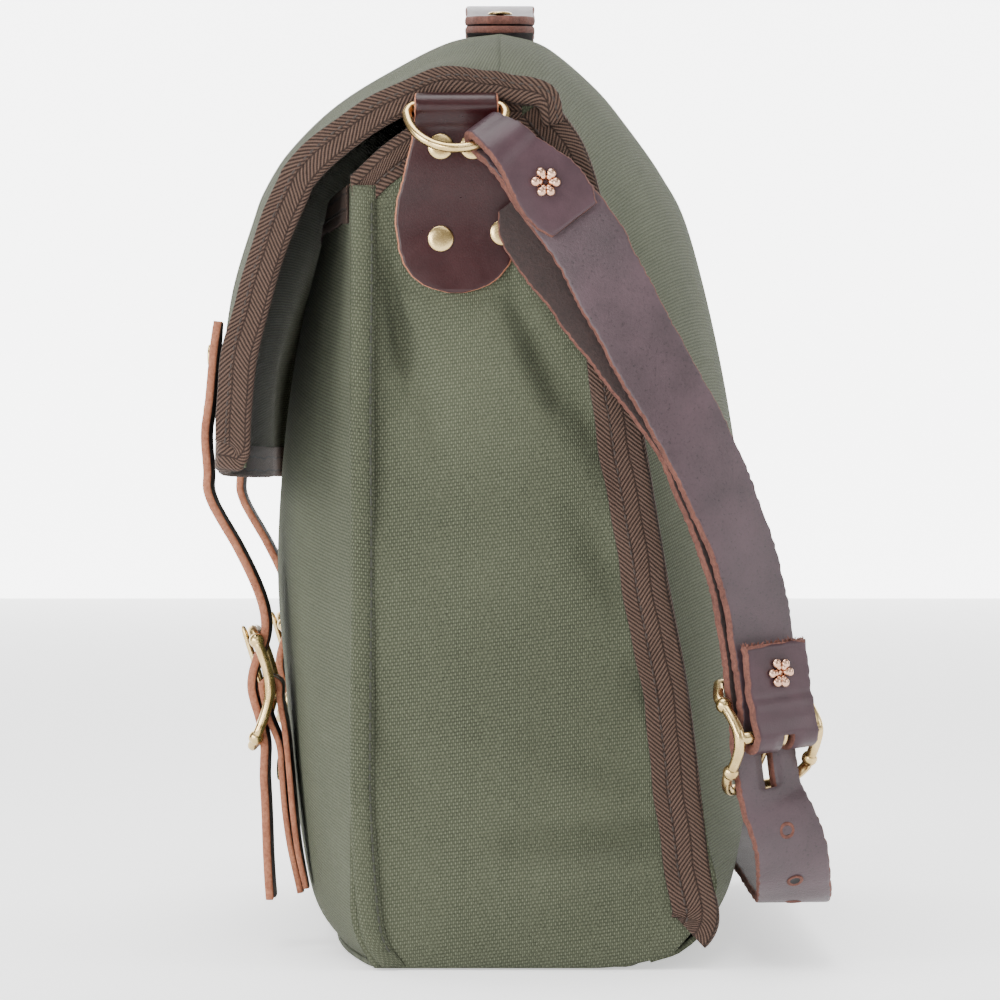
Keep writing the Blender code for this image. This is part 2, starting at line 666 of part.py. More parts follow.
closure, buckle_tab = {}, {}
UP, FRONTWARD = Vector((0, 0, 1)), Vector((0, -1, 0))
for side, sign in SIDES.items():
    x = sign * CLOSURE_X
    bar_y, bar_z = BUCKLE_BAR
    centre = Vector((x, bar_y, bar_z))
    roll = BAR + GAP + TAB_LEATHER / 2
    # tab: back layer up the bag, round the centre bar, front layer down again
    inner_edge = CLOSURE_X - STRAP_WIDTH / 2
    layer = TAB_LEATHER + GAP
    back, front = [], []
    for height in (20.0, 34.0, 48.0, 62.0, 76.0):
        wall = surface_y(front_surface, FRONT_ROWS, inner_edge, height * MM) / MM
        back.append((wall - (GAP + TAB_LEATHER / 2) / MM - 0.1, height))
    back.append((bar_y / MM + roll / MM, 87.0))
    for height in (62.0, 48.0, 34.0, 18.5):
        wall = surface_y(front_surface, FRONT_ROWS, inner_edge, height * MM) / MM
        front.append((wall - (GAP + TAB_LEATHER / 2 + layer) / MM - 0.2, height))
    front = [(-81.3, 81.0), (front[0][0] - 0.9, 71.0)] + front
    path = [Vector((x, y * MM, z * MM)) for y, z in back]
    normals = [Vector((0, 1, 0.1)) for _ in path]
    for k in range(9):
        a = math.radians(10 + 165 * k / 8)
        path.append(centre + Vector((0, math.cos(a), math.sin(a))) * roll)
        normals.append(Vector((0, math.cos(a), math.sin(a))))
    path += [Vector((x, y * MM, z * MM)) for y, z in front]
    normals += [Vector((0, -1, -0.1)) for _ in front]
    tab_widths = [14, 20, 23, 24, 24, 24] + [24] * 9 + [24, 24, 24, 23, 20, 14]
    rivet_y = front[2][0] * MM - TAB_LEATHER / 2
    wall_in = surface_y(front_surface, FRONT_ROWS, CLOSURE_X + 3 * MM, 62 * MM) + CANVAS
    buckle_tab[side] = band("buckle_tab_" + side, path, normals, [w * MM for w in tab_widths],
                            TAB_LEATHER, "leather", BAG)
    notch = box_cutter("prong_notch_" + side, Vector((x, bar_y - 1.0 * MM, bar_z + 1.0 * MM)),
                       (Vector((1, 0, 0)), Vector((0, 1, 0)), UP),
                       (5.0 * MM, 12.0 * MM, 13.0 * MM), BAG)
    cut(buckle_tab[side], notch)
    buckle("buckle_frame_" + side, centre, Vector((1, 0, 0)), UP, FRONTWARD, 6.3 * MM,
           15.0 * MM, 40.0 * MM, BAR, BAG)
    rivet("buckle_rivet_" + side, Vector((x, rivet_y - 0.1 * MM, 62.0 * MM)), FRONTWARD,
          wall_in - rivet_y + 0.9 * MM, BAG,
          [buckle_tab[side], front_panel], cap=4.0 * MM)
    # closure strap: rough tail at the bottom, over the centre bar, up to the flap
    line = [(-80.6, 17), (-81.8, 34), (-82.5, 52), (-82.8, 62), (-82.5, 70), (-84.4, 80),
            (-87.2, 90), (-86.4, 98), (-82.4, 110), (-84.0, 122), (-92.0, 140)]
    for height, lift in ((158, 0.9), (168, 1.7), (180, 1.7), (190, 0.5), (200, 0.4),
                         (210, 0.4), (220, 0.4)):
        cloth = surface_y(flap_surface, FLAP_ROWS, inner_edge, max(height, 168) * MM) / MM
        line.append((cloth - lift - (GAP + CLOSURE_LEATHER / 2) / MM, height))
    strap_path = smooth_curve([(x, y * MM, z * MM) for y, z in line], 40)
    strap_normals = [Vector((0, -1, 0)) for _ in strap_path]
    strap_widths = [STRAP_WIDTH] * 40
    for k, part in ((39, 0.45), (38, 0.8), (37, 0.95)):
        strap_widths[k] = STRAP_WIDTH * part
    closure[side] = band("closure_strap_" + side, strap_path, strap_normals, strap_widths,
                         CLOSURE_LEATHER, "strap", FLAP_FRONT)
    slot = box_cutter("prong_slot_" + side, Vector((x, -86.0 * MM, 99.7 * MM)),
                      (Vector((1, 0, 0)), Vector((0, 1, 0)), UP),
                      (4.6 * MM, 14.0 * MM, 18.0 * MM), FLAP_FRONT)
    cut(closure[side], slot)
    for letter, height in (("low", 187.0), ("high", 208.0)):
        near_path = min(strap_path, key=lambda p, h=height * MM: abs(p.z - h))
        rivet("closure_rivet_%s_%s" % (letter, side),
              near_path - Vector((0, CLOSURE_LEATHER / 2 + 0.5 * MM, 0)), FRONTWARD, 8.0 * MM,
              FLAP_FRONT, [closure[side], flap_front], cap=4.0 * MM)
    prong("prong_" + side, centre, UP, FRONTWARD, BAR, (21.5 * MM, 10.4 * MM),
          PRONG_BODY[side])


# ---------------------------------------------------------------------- carry handle
def crown(x, lift):
    w = fill(x, FLAP_HALF)
    return Vector((x, 0.0, (298.0 + 29.0 * w) * MM + lift))


HANDLE_HALF = 78.0 * MM
xs = spread(-HANDLE_HALF, HANDLE_HALF, 25)
sheet_top = 1.7 * MM
path = [crown(x, sheet_top) for x in xs]
ends = [0.55, 0.85] + [1.0] * 21 + [0.85, 0.55]
handle_base = band("handle_base", path, [Vector((0, 0, 1))] * 25,
                   [STRAP_WIDTH * e for e in ends], 2.6 * MM, "strap", FLAP_TOP)
path = []
for x in xs:
    rise = max(0.0, 1 - abs(x / (HANDLE_HALF * 0.72)) ** 3)
    path.append(crown(x, sheet_top + 3.2 * MM + 7.0 * MM * rise))
carry_handle = band("carry_handle", path, [Vector((0, 0, 1))] * 25,
                    [STRAP_WIDTH * e for e in ends], 3.0 * MM, "strap", FLAP_TOP)
for side, sign in SIDES.items():
    x = sign * 68.0 * MM
    rivet("handle_rivet_" + side, crown(x, sheet_top + 5.3 * MM), UP, 10.5 * MM, FLAP_TOP,
          [carry_handle, handle_base, flap_top])


# --------------------------------------------------------------------- shoulder strap
def unit(*values):
    return Vector(values).normalized()


# where the right ring holds the strap, and the way the strap pulls away from it
RING_DOWN = Vector((math.sin(RING_TILT), 0, -math.cos(RING_TILT)))
PULL = (Vector((0, 1, 0)) * math.cos(EYE_ANGLE) + RING_DOWN * math.sin(EYE_ANGLE)).normalized()
HELD = Vector(RING_BAR) + PULL * RING_RADIUS + RING_DOWN * RING_DROP
EYE_OUT = unit(math.cos(RING_TILT), 0, math.sin(RING_TILT))


def mirror(points, sign):
    return [Vector((sign * p.x, p.y, p.z)) for p in points]


def turned_normal(z):
    """The side run faces +X at the ring and turns toward the back lower down."""
    turn = math.radians(33.0) * min(1.0, max(0.0, (250.0 * MM - z) / (110.0 * MM)))
    return Vector((math.cos(turn), math.sin(turn), 0))


half_leather = SHOULDER_LEATHER / 2
eye_run = [HELD, HELD + PULL * 9 * MM + EYE_OUT * 0.5 * MM] + [Vector((205.0, 17, 258)) * MM,
                                                          Vector((205.0, 27, 246)) * MM]
eye_line = smooth_curve(eye_run, 12)
strap_eye = {}
for side, sign in SIDES.items():
    wide = WIRE + GAP + half_leather
    near = half_leather + GAP
    offsets = [wide, wide, wide * 0.75 + near * 0.25] + [near] * 9
    outs = square_normals(eye_line, [EYE_OUT.lerp(Vector((1, 0, 0)), k / 11)
                                     for k in range(12)])
    path = [eye_line[k] + outs[k] * offsets[k] for k in range(10, -1, -1)]
    normals = [outs[k] for k in range(10, -1, -1)]
    fold = HELD - PULL * 1.2 * MM
    for k in range(1, 8):
        a = math.pi * k / 8
        path.append(fold + (EYE_OUT * math.cos(a) - PULL * math.sin(a)) * wide)
        normals.append(EYE_OUT * math.cos(a) - PULL * math.sin(a))
    path += [eye_line[k] - outs[k] * offsets[k] for k in range(12)]
    normals += [-outs[k] for k in range(12)]
    widths = [13, 20, 23, 24, 24, 22, 20, 18, 17, 15, 14] + [13] * 7
    widths += [14, 15, 17, 18, 20, 22, 24, 25, 25, 25, 25, 25]
    strap_eye[side] = band("strap_eye_" + side, mirror(path, sign), mirror(normals, sign),
                           [w * MM for w in widths], SHOULDER_LEATHER, "strap", STRAP)
    at = eye_line[6] + outs[6] * (near + half_leather + 0.4 * MM)
    rivet("flower_rivet_eye_" + side, mirror([at], sign)[0], mirror([outs[6]], sign)[0],
          2 * (near + half_leather) + 0.8 * MM, STRAP, [strap_eye[side]], cap=5.4 * MM,
          petals=6, depth=0.3)

# main layer of the short part starts where the eye's main layer stops
side_line = smooth_curve([Vector(p) * MM for p in STRAP_SIDE], 34)
inward = square_normals(side_line, [turned_normal(p.z) for p in side_line])
shift = half_leather + GAP
buckle_at = side_line[-1]
b_out = inward[-1]
b_up = (side_line[-2] - side_line[-1]).normalized()
b_out = (b_out - b_up * b_out.dot(b_up)).normalized()
b_across = b_up.cross(b_out)
SHOULDER_BAR = 2.0 * MM
main = [p - n * shift for p, n in zip(side_line, inward)][1:]
main_normals = [-n for n in inward][1:]
bar_out = half_leather + GAP + SHOULDER_BAR
bar_centre = main[-1] + b_out * bar_out
path = list(main)
normals = list(main_normals)
fold_radius = SHOULDER_BAR + GAP + half_leather
for k in range(1, 8):
    a = math.pi * k / 8
    path.append(bar_centre + (-b_out * math.cos(a) - b_up * math.sin(a)) * fold_radius)
    normals.append(-b_out * math.cos(a) - b_up * math.sin(a))
flat = 2 * half_leather + GAP - bar_out + 0.2 * MM
for along, out in ((0, fold_radius), (4.5, fold_radius - 0.6 * MM), (9, flat + 1.4 * MM),
                   (13, flat), (20, flat), (28, flat)):
    path.append(bar_centre + b_up * along * MM + b_out * out)
    normals.append(b_out)
strap_short = band("strap_short", path, normals, [STRAP_WIDTH] * len(path), SHOULDER_LEATHER,
                   "strap", STRAP)
rivet_at = bar_centre + b_up * 20 * MM + b_out * (flat + half_leather + 0.3 * MM)
rivet("flower_rivet_buckle", rivet_at, b_out, 2 * SHOULDER_LEATHER + 0.8 * MM, STRAP,
      [strap_short], cap=5.6 * MM, petals=8, depth=0.35)

# long part: tail inside the short part, through the buckle, down and round to the far ring
tail_top = smooth_curve([Vector((197.4, 4, 256)) * MM, Vector((198.6, 22, 233)) * MM,
                         Vector((200.2, 42, 206)) * MM], 10)
inner_side = 2 * half_leather + GAP + 1.8 * MM
inner = [p - n * inner_side for p, n in zip(main, inward[1:])]
inner = [p for p in inner if p.z < 0.186]
line = smooth_curve([tail_top[0], tail_top[4], tail_top[8]] + inner[::4] + [inner[-1]]
                    + [Vector(p) * MM for p in STRAP_LOW], 84)
long_normals = []
for p in line:
    n = turned_normal(p.z)
    under = min(1.0, max(0.0, (64 * MM - p.z) / (42 * MM)))
    long_normals.append(n.lerp(Vector((0.0, 0.0, -1.0)), under ** 1.2))
far = mirror([p for p in reversed(line[:-1]) if p.z < 60 * MM], -1)
far_normals = mirror([n for p, n in zip(line[:-1], long_normals[:-1])
                      if p.z < 60 * MM][::-1], -1)
far_side = mirror([p - n * shift for p, n in zip(side_line, inward)][1:-2][::-1], -1)
far_side_normals = mirror([n for n in inward][1:-2][::-1], -1)
whole = line + far + far_side
whole_normals = long_normals + far_normals + far_side_normals
tip_widths = [0.45, 0.8, 0.95] + [1.0] * (len(whole) - 3)
strap_long = band("strap_long", whole, whole_normals, [STRAP_WIDTH * w for w in tip_widths],
                  SHOULDER_LEATHER, "strap", STRAP)

shoulder_frame = buckle("shoulder_buckle_frame", bar_centre, b_across, b_up, -b_out,
                        14.6 * MM, 16.0 * MM, 35.0 * MM, SHOULDER_BAR, STRAP)
SHOULDER_PRONG = body("shoulder_prong_hinge", bar_centre)
strap_notch = box_cutter("shoulder_prong_slot", bar_centre - b_up * 2.5 * MM - b_out * 1.0 * MM,
                         (b_across, b_up, b_out), (5.0 * MM, 15.0 * MM, 13.0 * MM), STRAP)
cut(strap_short, strap_notch)
long_slot = box_cutter("long_strap_slot", bar_centre - b_up * 8 * MM - b_out * 9.0 * MM,
                       (b_across, b_up, b_out), (4.6 * MM, 21.0 * MM, 14.0 * MM), STRAP)
cut(strap_long, long_slot)
prong("shoulder_prong", bar_centre, -b_up, -b_out, SHOULDER_BAR, (19.5 * MM, 20.6 * MM),
      SHOULDER_PRONG)
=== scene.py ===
# %% [markdown]
# # A canvas messenger bag
#
# The bag is a canvas box bound with herringbone tape, with a flap that two leather
# straps close in brass buckles, and a shoulder strap that hangs from two rings.
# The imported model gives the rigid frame.  This script builds the looks around it:
# cloth as curved sheets with woven finishes, leather as bevelled bands with raw
# edges, and thread as real little stitches.

# %% Load the frame
import math
import random
from bisect import bisect_left

import bmesh
import bpy
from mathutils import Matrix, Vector


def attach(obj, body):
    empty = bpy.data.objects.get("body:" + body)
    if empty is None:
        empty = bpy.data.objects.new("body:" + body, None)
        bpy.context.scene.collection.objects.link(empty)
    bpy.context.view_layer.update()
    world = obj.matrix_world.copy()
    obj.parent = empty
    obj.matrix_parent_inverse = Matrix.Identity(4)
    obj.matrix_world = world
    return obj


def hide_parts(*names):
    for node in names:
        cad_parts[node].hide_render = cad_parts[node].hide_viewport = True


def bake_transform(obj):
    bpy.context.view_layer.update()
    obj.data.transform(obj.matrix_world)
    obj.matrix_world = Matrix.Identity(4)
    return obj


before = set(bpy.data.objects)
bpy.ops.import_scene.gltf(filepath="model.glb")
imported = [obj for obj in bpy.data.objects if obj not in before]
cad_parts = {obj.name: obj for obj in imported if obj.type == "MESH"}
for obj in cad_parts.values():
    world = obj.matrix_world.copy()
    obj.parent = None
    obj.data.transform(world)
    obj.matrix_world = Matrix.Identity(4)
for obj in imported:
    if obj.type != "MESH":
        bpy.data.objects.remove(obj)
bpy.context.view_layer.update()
MM = 0.001
X, Y, Z = Vector((1, 0, 0)), Vector((0, 1, 0)), Vector((0, 0, 1))
SIDES = {"right": 1, "left": -1}

# %% [markdown]
# The camera stands level with the middle of the bag, off its right side, with a long
# lens, so the side reads almost as a drawing.  A closer camera would make the nearer
# hardware look too large.

# %% Camera
lens_data = bpy.data.cameras.new("camera")
lens_data.lens = 162.0
lens_data.sensor_width = 36.0
camera = bpy.data.objects.new("camera", lens_data)
bpy.context.collection.objects.link(camera)
camera.location = (1.69, 0.0, 0.157)
camera.rotation_euler = (math.radians(90), 0, math.radians(90))
bpy.context.scene.camera = camera
print("camera at", tuple(camera.location))

# %% [markdown]
# Soft light comes from both sides and above, and a bright screen stands behind.  The
# viewer's side has only two weak lamps: dark leather mirrors whatever faces it, and a
# bright room there would wash out its colour.  Large lamps give long, gentle highlights.

# %% Floor and lights
LAMPS = [  # name, place, what it points at, size in metres, power in watts
    ("top_softbox", (0.45, -0.25, 1.7), (0.1, 0.0, 0.2), 1.1, 30),
    ("front_softbox", (1.2, -1.5, 0.6), (0.1, 0.0, 0.15), 0.7, 30),
    ("corner_softbox", (1.7, -0.72, 0.35), (0.15, -0.06, 0.18), 0.4, 12),
    ("back_softbox", (0.8, 1.6, 0.7), (0.1, 0.0, 0.15), 0.9, 13),
    ("fill_softbox", (2.0, 0.4, 1.5), (0.1, 0.0, 0.15), 0.9, 7)]
for name, location, target, size, power in LAMPS:
    data = bpy.data.lights.new(name, "AREA")
    data.size = size
    data.energy = power
    lamp = bpy.data.objects.new(name, data)
    lamp.location = location
    aim = Vector(target) - Vector(location)
    lamp.rotation_euler = aim.to_track_quat("-Z", "Y").to_euler()
    bpy.context.collection.objects.link(lamp)

def stage_panel(name, corners, location, finish_name, settings):
    """A flat four-cornered part of the stage, with a plain finish."""
    mesh = bpy.data.meshes.new(name)
    mesh.from_pydata(corners, [], [(0, 1, 2, 3)])
    panel = bpy.data.objects.new(name, mesh)
    panel.location = location
    bpy.context.collection.objects.link(panel)
    finish = bpy.data.materials.new(finish_name)
    finish.use_nodes = True
    for socket, value in settings.items():
        finish.node_tree.nodes["Principled BSDF"].inputs[socket].default_value = value
    mesh.materials.append(finish)


WHITE = (1, 1, 1, 1)
FLOOR_REACH = 6.0
SCREEN_HALF = 9.0
stage_panel("floor", [(x * FLOOR_REACH, y * FLOOR_REACH, 0)
                      for x, y in ((-1, -1), (1, -1), (1, 1), (-1, 1))],
            (0, 0, -0.0002), "pale_floor",
            {"Base Color": (0.9, 0.9, 0.9, 1), "Roughness": 0.8,
             "Emission Color": WHITE, "Emission Strength": 0.75})
stage_panel("backdrop", [(0, y * SCREEN_HALF, z)
                         for y, z in ((-1, -1), (1, -1), (1, 8), (-1, 8))],
            (-5.5, 0, 0), "white_screen",
            {"Emission Color": WHITE, "Emission Strength": 5.0})
world = bpy.context.scene.world or bpy.data.worlds.new("world")
bpy.context.scene.world = world
world.use_nodes = True
world.node_tree.nodes["Background"].inputs["Color"].default_value = WHITE
world.node_tree.nodes["Background"].inputs["Strength"].default_value = 0.42
print(len(LAMPS), "lamps, a pale floor and a bright screen behind")

# %% [markdown]
# Finishes are written as arithmetic.  One small class wraps a socket, so that
# `1 - mask` or `height * 0.5` adds the Math node it means, and one method makes any
# other node from its type, settings and socket values.

# %% Shader arithmetic
class Signal:
    """A node's output that can be used in sums."""

    def __init__(self, tree, socket):
        self.tree = tree
        self.socket = socket

    def math(self, operation, *values):
        node = self.tree.nodes.new("ShaderNodeMath")
        node.operation = operation
        for slot, value in zip(node.inputs, values):
            plug(self.tree, slot, value)
        return Signal(self.tree, node.outputs[0])

    def __add__(self, other):
        return self.math("ADD", self, other)

    __radd__ = __add__

    def __sub__(self, other):
        return self.math("SUBTRACT", self, other)

    def __rsub__(self, other):
        return self.math("SUBTRACT", other, self)

    def __mul__(self, other):
        return self.math("MULTIPLY", self, other)

    __rmul__ = __mul__

    def __truediv__(self, other):
        return self.math("DIVIDE", self, other)

    def __neg__(self):
        return self.math("MULTIPLY", self, -1.0)

    def __abs__(self):
        return self.math("ABSOLUTE", self)

    def sine(self):
        return self.math("SINE", self)

    def pingpong(self, width):
        return self.math("PINGPONG", self, width)

    def positive(self):
        return self.math("MAXIMUM", self, 0.0)

    def clamp(self):
        return self.math("MINIMUM", self.positive(), 1.0)


def plug(tree, slot, value):
    """Set a socket: a link from a signal, or a plain value."""
    if isinstance(value, Signal):
        tree.links.new(value.socket, slot)
    else:
        slot.default_value = value


class Finish:
    """A material being made, with its Principled shader."""

    def __init__(self, name, roughness=0.6, metallic=0.0, coat=0.0, sheen=0.0):
        self.material = bpy.data.materials.new(name)
        self.material.use_nodes = True
        self.tree = self.material.node_tree
        self.shader = self.tree.nodes["Principled BSDF"]
        self.set({"Roughness": roughness, "Metallic": metallic, "Coat Weight": coat,
                  "Sheen Weight": sheen})

    def set(self, values):
        for socket, value in values.items():
            plug(self.tree, self.shader.inputs[socket], value)

    def node(self, kind, settings, values, output=0):
        made = self.tree.nodes.new(kind)
        for key, value in settings.items():
            setattr(made, key, value)
        for key, value in values.items():
            plug(self.tree, made.inputs[key], value)
        return Signal(self.tree, made.outputs[output])

    def noise(self, scale, detail=2.0, vector=None, roughness=0.5):
        place = vector or self.node("ShaderNodeTexCoord", {}, {}, "Object")
        return self.node("ShaderNodeTexNoise", {}, {"Vector": place, "Scale": scale,
                                                    "Detail": detail, "Roughness": roughness})

    def mix(self, factor, first, second):
        return self.node("ShaderNodeMix", {"data_type": "RGBA"},
                         {0: factor, 6: first, 7: second}, 2)

    def bump(self, height, distance, strength=1.0):
        normal = self.node("ShaderNodeBump", {}, {"Height": height, "Distance": distance,
                                                  "Strength": strength})
        self.set({"Normal": normal})

    def cloth_place(self):
        """The cloth's own lengths in millimetres: across and along."""
        place = self.node("ShaderNodeUVMap", {"uv_map": "cloth"}, {})
        return (self.node("ShaderNodeSeparateXYZ", {}, {0: place}, output)
                for output in (0, 1))


def rgba(*levels):
    """Linear colour from screen levels of 0 to 255."""
    return (*(((v / 255 + 0.055) / 1.055) ** 2.4 if v > 10 else v / 3294
              for v in levels), 1.0)


print("shader arithmetic ready")

# %% [markdown]
# Canvas is a plain weave: each thread goes over one and under the next, so crossings
# alternate like a chessboard.  The product of two sines gives that board.  Its bright
# squares are the thick weft floats, its dark ones the sunken warp, so the light spots
# come out staggered from row to row.  Slow noise lets the washed colour drift.

# %% Canvas finish
WEAVE_ACROSS, WEAVE_ALONG = 0.68, 1.17  # spacing of the threads, in millimetres
WEAVE_SKEW = 0.13


def canvas_finish(name, dark, light):
    finish = Finish(name, roughness=0.95, sheen=0.02)
    across, along = finish.cloth_place()
    along = along - across * WEAVE_SKEW
    drift = finish.noise(230.0, 3.0)
    board = (((across + drift * 0.45) * (math.pi / WEAVE_ACROSS)).sine()
             * ((along + drift * 0.45) * (math.pi / WEAVE_ALONG)).sine())
    weft = board.positive()
    warp = (-board).positive()
    slub = finish.noise(1400.0, 2.0)
    patch = finish.noise(14.0, 4.0)
    shade = (weft * 0.75 + warp * 0.28 + slub * 0.50 + patch * 0.34 - 0.22).clamp()
    finish.set({"Base Color": finish.mix(shade, dark, light)})
    finish.bump(weft * 0.9 + warp * 0.45 + slub * 0.3, 0.00045, 0.9)
    finish.shader.inputs["Specular IOR Level"].default_value = 0.12
    return finish.material


canvas = canvas_finish("washed_canvas", rgba(35, 38, 28), rgba(104, 108, 89))
canvas_inside = canvas_finish("canvas_inside", rgba(40, 42, 33), rgba(88, 90, 74))
print("canvas with staggered floats")

# %% [markdown]
# Herringbone tape is a twill whose diagonal turns back every few millimetres.  Folding
# the across coordinate back and forth turns straight diagonals into chevrons, and the
# dark line where they turn comes from the same fold.

# %% Herringbone tape finish
COLUMN = 5.2  # width of one chevron column, in millimetres
RIB_PITCH, THREAD_PITCH = 1.6, 0.8


def tape_finish(name, dark, light):
    finish = Finish(name, roughness=0.85, sheen=0.03)
    across, along = finish.cloth_place()
    fold = across.pingpong(COLUMN)
    wander = finish.noise(400.0, 2.0)
    rib = ((along + fold * 1.05 + wander * 0.5) * (2 * math.pi / RIB_PITCH)).sine() * 0.5 + 0.5
    thread = ((fold - along * 0.6) * (2 * math.pi / THREAD_PITCH)).sine() * 0.5 + 0.5
    turn = (1 - abs(fold - COLUMN * 0.5) / (COLUMN * 0.5)) * 5.0
    open_rib = rib * turn.clamp()
    slub = finish.noise(1600.0, 2.0)
    shade = (open_rib * 0.75 + thread * 0.12 + slub * 0.4 - 0.22).clamp()
    finish.set({"Base Color": finish.mix(shade, dark, light)})
    finish.bump(open_rib + thread * 0.15 + slub * 0.2, 0.00042, 0.85)
    finish.shader.inputs["Specular IOR Level"].default_value = 0.2
    return finish.material


tape = tape_finish("herringbone_tape", rgba(27, 17, 13), rgba(98, 77, 66))
print("tape with chevrons", COLUMN, "mm wide")

# %% [markdown]
# Leather has a smooth top side with fine pores, a fibrous underside and cut edges in
# the hide's own colour.  Each band therefore carries three finishes, and the noise that
# roughens the edge is far coarser than the pores on the face.

# %% Leather finishes
def leather_finish(name, dark, light, roughness, coat):
    finish = Finish(name, roughness=roughness, coat=coat)
    cloud = finish.noise(38.0, 4.0)
    pores = finish.noise(2200.0, 3.0)
    creases = finish.node("ShaderNodeTexVoronoi", {"feature": "DISTANCE_TO_EDGE"},
                          {"Vector": finish.node("ShaderNodeTexCoord", {}, {}, "Object"),
                           "Scale": 900.0})
    scuffs = finish.noise(120.0, 6.0, roughness=0.7)
    finish.set({"Base Color": finish.mix((cloud * 0.9 + scuffs * 0.5 + pores * 0.2 - 0.35)
                                         .clamp(), dark, light),
                "Roughness": (scuffs * 0.28 + roughness - 0.12).clamp()})
    finish.bump(pores * 0.6 + (creases * 4.0).clamp() * 0.3 + scuffs * 0.5, 0.00006, 0.7)
    finish.shader.inputs["Coat Roughness"].default_value = 0.25
    finish.shader.inputs["Specular IOR Level"].default_value = 0.28
    return finish.material


def raw_edge_finish(name, dark, light):
    finish = Finish(name, roughness=0.85)
    fibre = finish.noise(900.0, 4.0, roughness=0.7)
    patch = finish.noise(160.0, 2.0)
    finish.set({"Base Color": finish.mix((fibre * 1.3 + patch * 0.5 - 0.45).clamp(),
                                         dark, light)})
    finish.bump(fibre, 0.0005, 0.8)
    return finish.material


strap_face = leather_finish("strap_leather", rgba(30, 17, 20), rgba(76, 54, 61), 0.42, 0.06)
strap_edge = raw_edge_finish("strap_raw_edge", rgba(46, 22, 18), rgba(120, 72, 58))
strap_flesh = raw_edge_finish("strap_flesh_side", rgba(22, 13, 12), rgba(52, 34, 31))
tab_face = leather_finish("tab_leather", rgba(22, 4, 6), rgba(50, 12, 14), 0.30, 0.05)
tab_edge = raw_edge_finish("tab_raw_edge", rgba(104, 50, 32), rgba(184, 124, 92))
print("two leathers with their raw edges")

# %% [markdown]
# The fittings are aged brass: a metal, so all its colour is in the reflection, with
# broad noise in the roughness where handling has dulled it.  The little flower rivets
# are a redder alloy.

# %% Brass finishes
def brass_finish(name, dark, light, roughness):
    finish = Finish(name, roughness=roughness, metallic=1.0)
    cloud = finish.noise(220.0, 4.0)
    scratch = finish.noise(1800.0, 2.0)
    finish.set({"Base Color": finish.mix((cloud * 1.1 - 0.05).clamp(), dark, light),
                "Roughness": (cloud * 0.22 + scratch * 0.1 + roughness - 0.14).clamp()})
    finish.bump(scratch * 0.5 + cloud, 0.00004, 0.5)
    return finish.material


brass = brass_finish("aged_brass", rgba(156, 126, 74), rgba(232, 206, 150), 0.24)
flower_brass = brass_finish("rose_brass", rgba(168, 118, 92), rgba(236, 198, 172), 0.24)


def thread_finish(name, colour, dark):
    finish = Finish(name, roughness=0.7)
    twist = finish.noise(2400.0, 2.0)
    finish.set({"Base Color": finish.mix(twist, dark, colour)})
    finish.bump(twist, 0.0001, 0.6)
    return finish.material


olive_thread = thread_finish("olive_thread", rgba(58, 60, 48), rgba(26, 27, 21))
brown_thread = thread_finish("brown_thread", rgba(62, 48, 40), rgba(24, 17, 14))
print("brass and thread ready")

# %% [markdown]
# Every piece below is made from rows of points.  A row of points with a place in the
# cloth, in millimetres across and along, is all that the woven finishes need, so the
# weave runs true around every curve.

# %% Point and curve helpers
def spread(low, high, count):
    return [low + (high - low) * k / (count - 1) for k in range(count)]


def lengths_along(points):
    total, result = 0.0, [0.0]
    for p, q in zip(points, points[1:]):
        total += (q - p).length
        result.append(total)
    return result


def place_on(lengths, goal):
    """The span that holds a length along a line, and how far into the span it is."""
    k = min(max(bisect_left(lengths, goal) - 1, 0), len(lengths) - 2)
    return k, (goal - lengths[k]) / max(lengths[k + 1] - lengths[k], 1e-9)


def unit_steps(points):
    """The direction of a line at each of its points."""
    ahead, behind = points[1:] + points[-1:], points[:1] + points[:-1]
    return [(b - a).normalized() for a, b in zip(behind, ahead)]


def smooth_curve(points, count):
    """Catmull-Rom curve through the points, resampled to evenly spaced stations."""
    pts = [Vector(p) for p in points]
    pts = [pts[0] * 2 - pts[1]] + pts + [pts[-1] * 2 - pts[-2]]
    dense = []
    for i in range(1, len(pts) - 2):
        a, b, c, d = pts[i - 1], pts[i], pts[i + 1], pts[i + 2]
        for t in (k / 16 for k in range(16)):
            dense.append(0.5 * ((2 * b) + (c - a) * t + (2 * a - 5 * b + 4 * c - d) * t * t
                                + (3 * b - a - 3 * c + d) * t ** 3))
    dense.append(pts[-2])
    lengths = lengths_along(dense)
    spans = [place_on(lengths, lengths[-1] * k / (count - 1)) for k in range(count)]
    return [dense[k].lerp(dense[k + 1], part) for k, part in spans]


def square_frames(points, normals):
    """(point, width direction, normal), square to the path."""
    frames = []
    for p, tangent, normal in zip(points, unit_steps(points), normals):
        n = normal - tangent * normal.dot(tangent)
        n.normalize()
        frames.append((p, tangent.cross(n).normalized(), n))
    return frames


def flip(points, sign):
    return [Vector((sign * p.x, p.y, p.z)) for p in points]


def ease(value, low, high):
    """0 below low, 1 above high, smooth between."""
    t = min(1.0, max(0.0, (value - low) / (high - low)))
    return t * t * (3 - 2 * t)


print("helpers ready")

# %% [markdown]
# A mesh goes from points and faces to a named object in one place: its finish, its
# cloth coordinates, the body it rides on and the rigid nodes it stands for.  Meshes
# are closed, so they are as solid from behind as from the front.

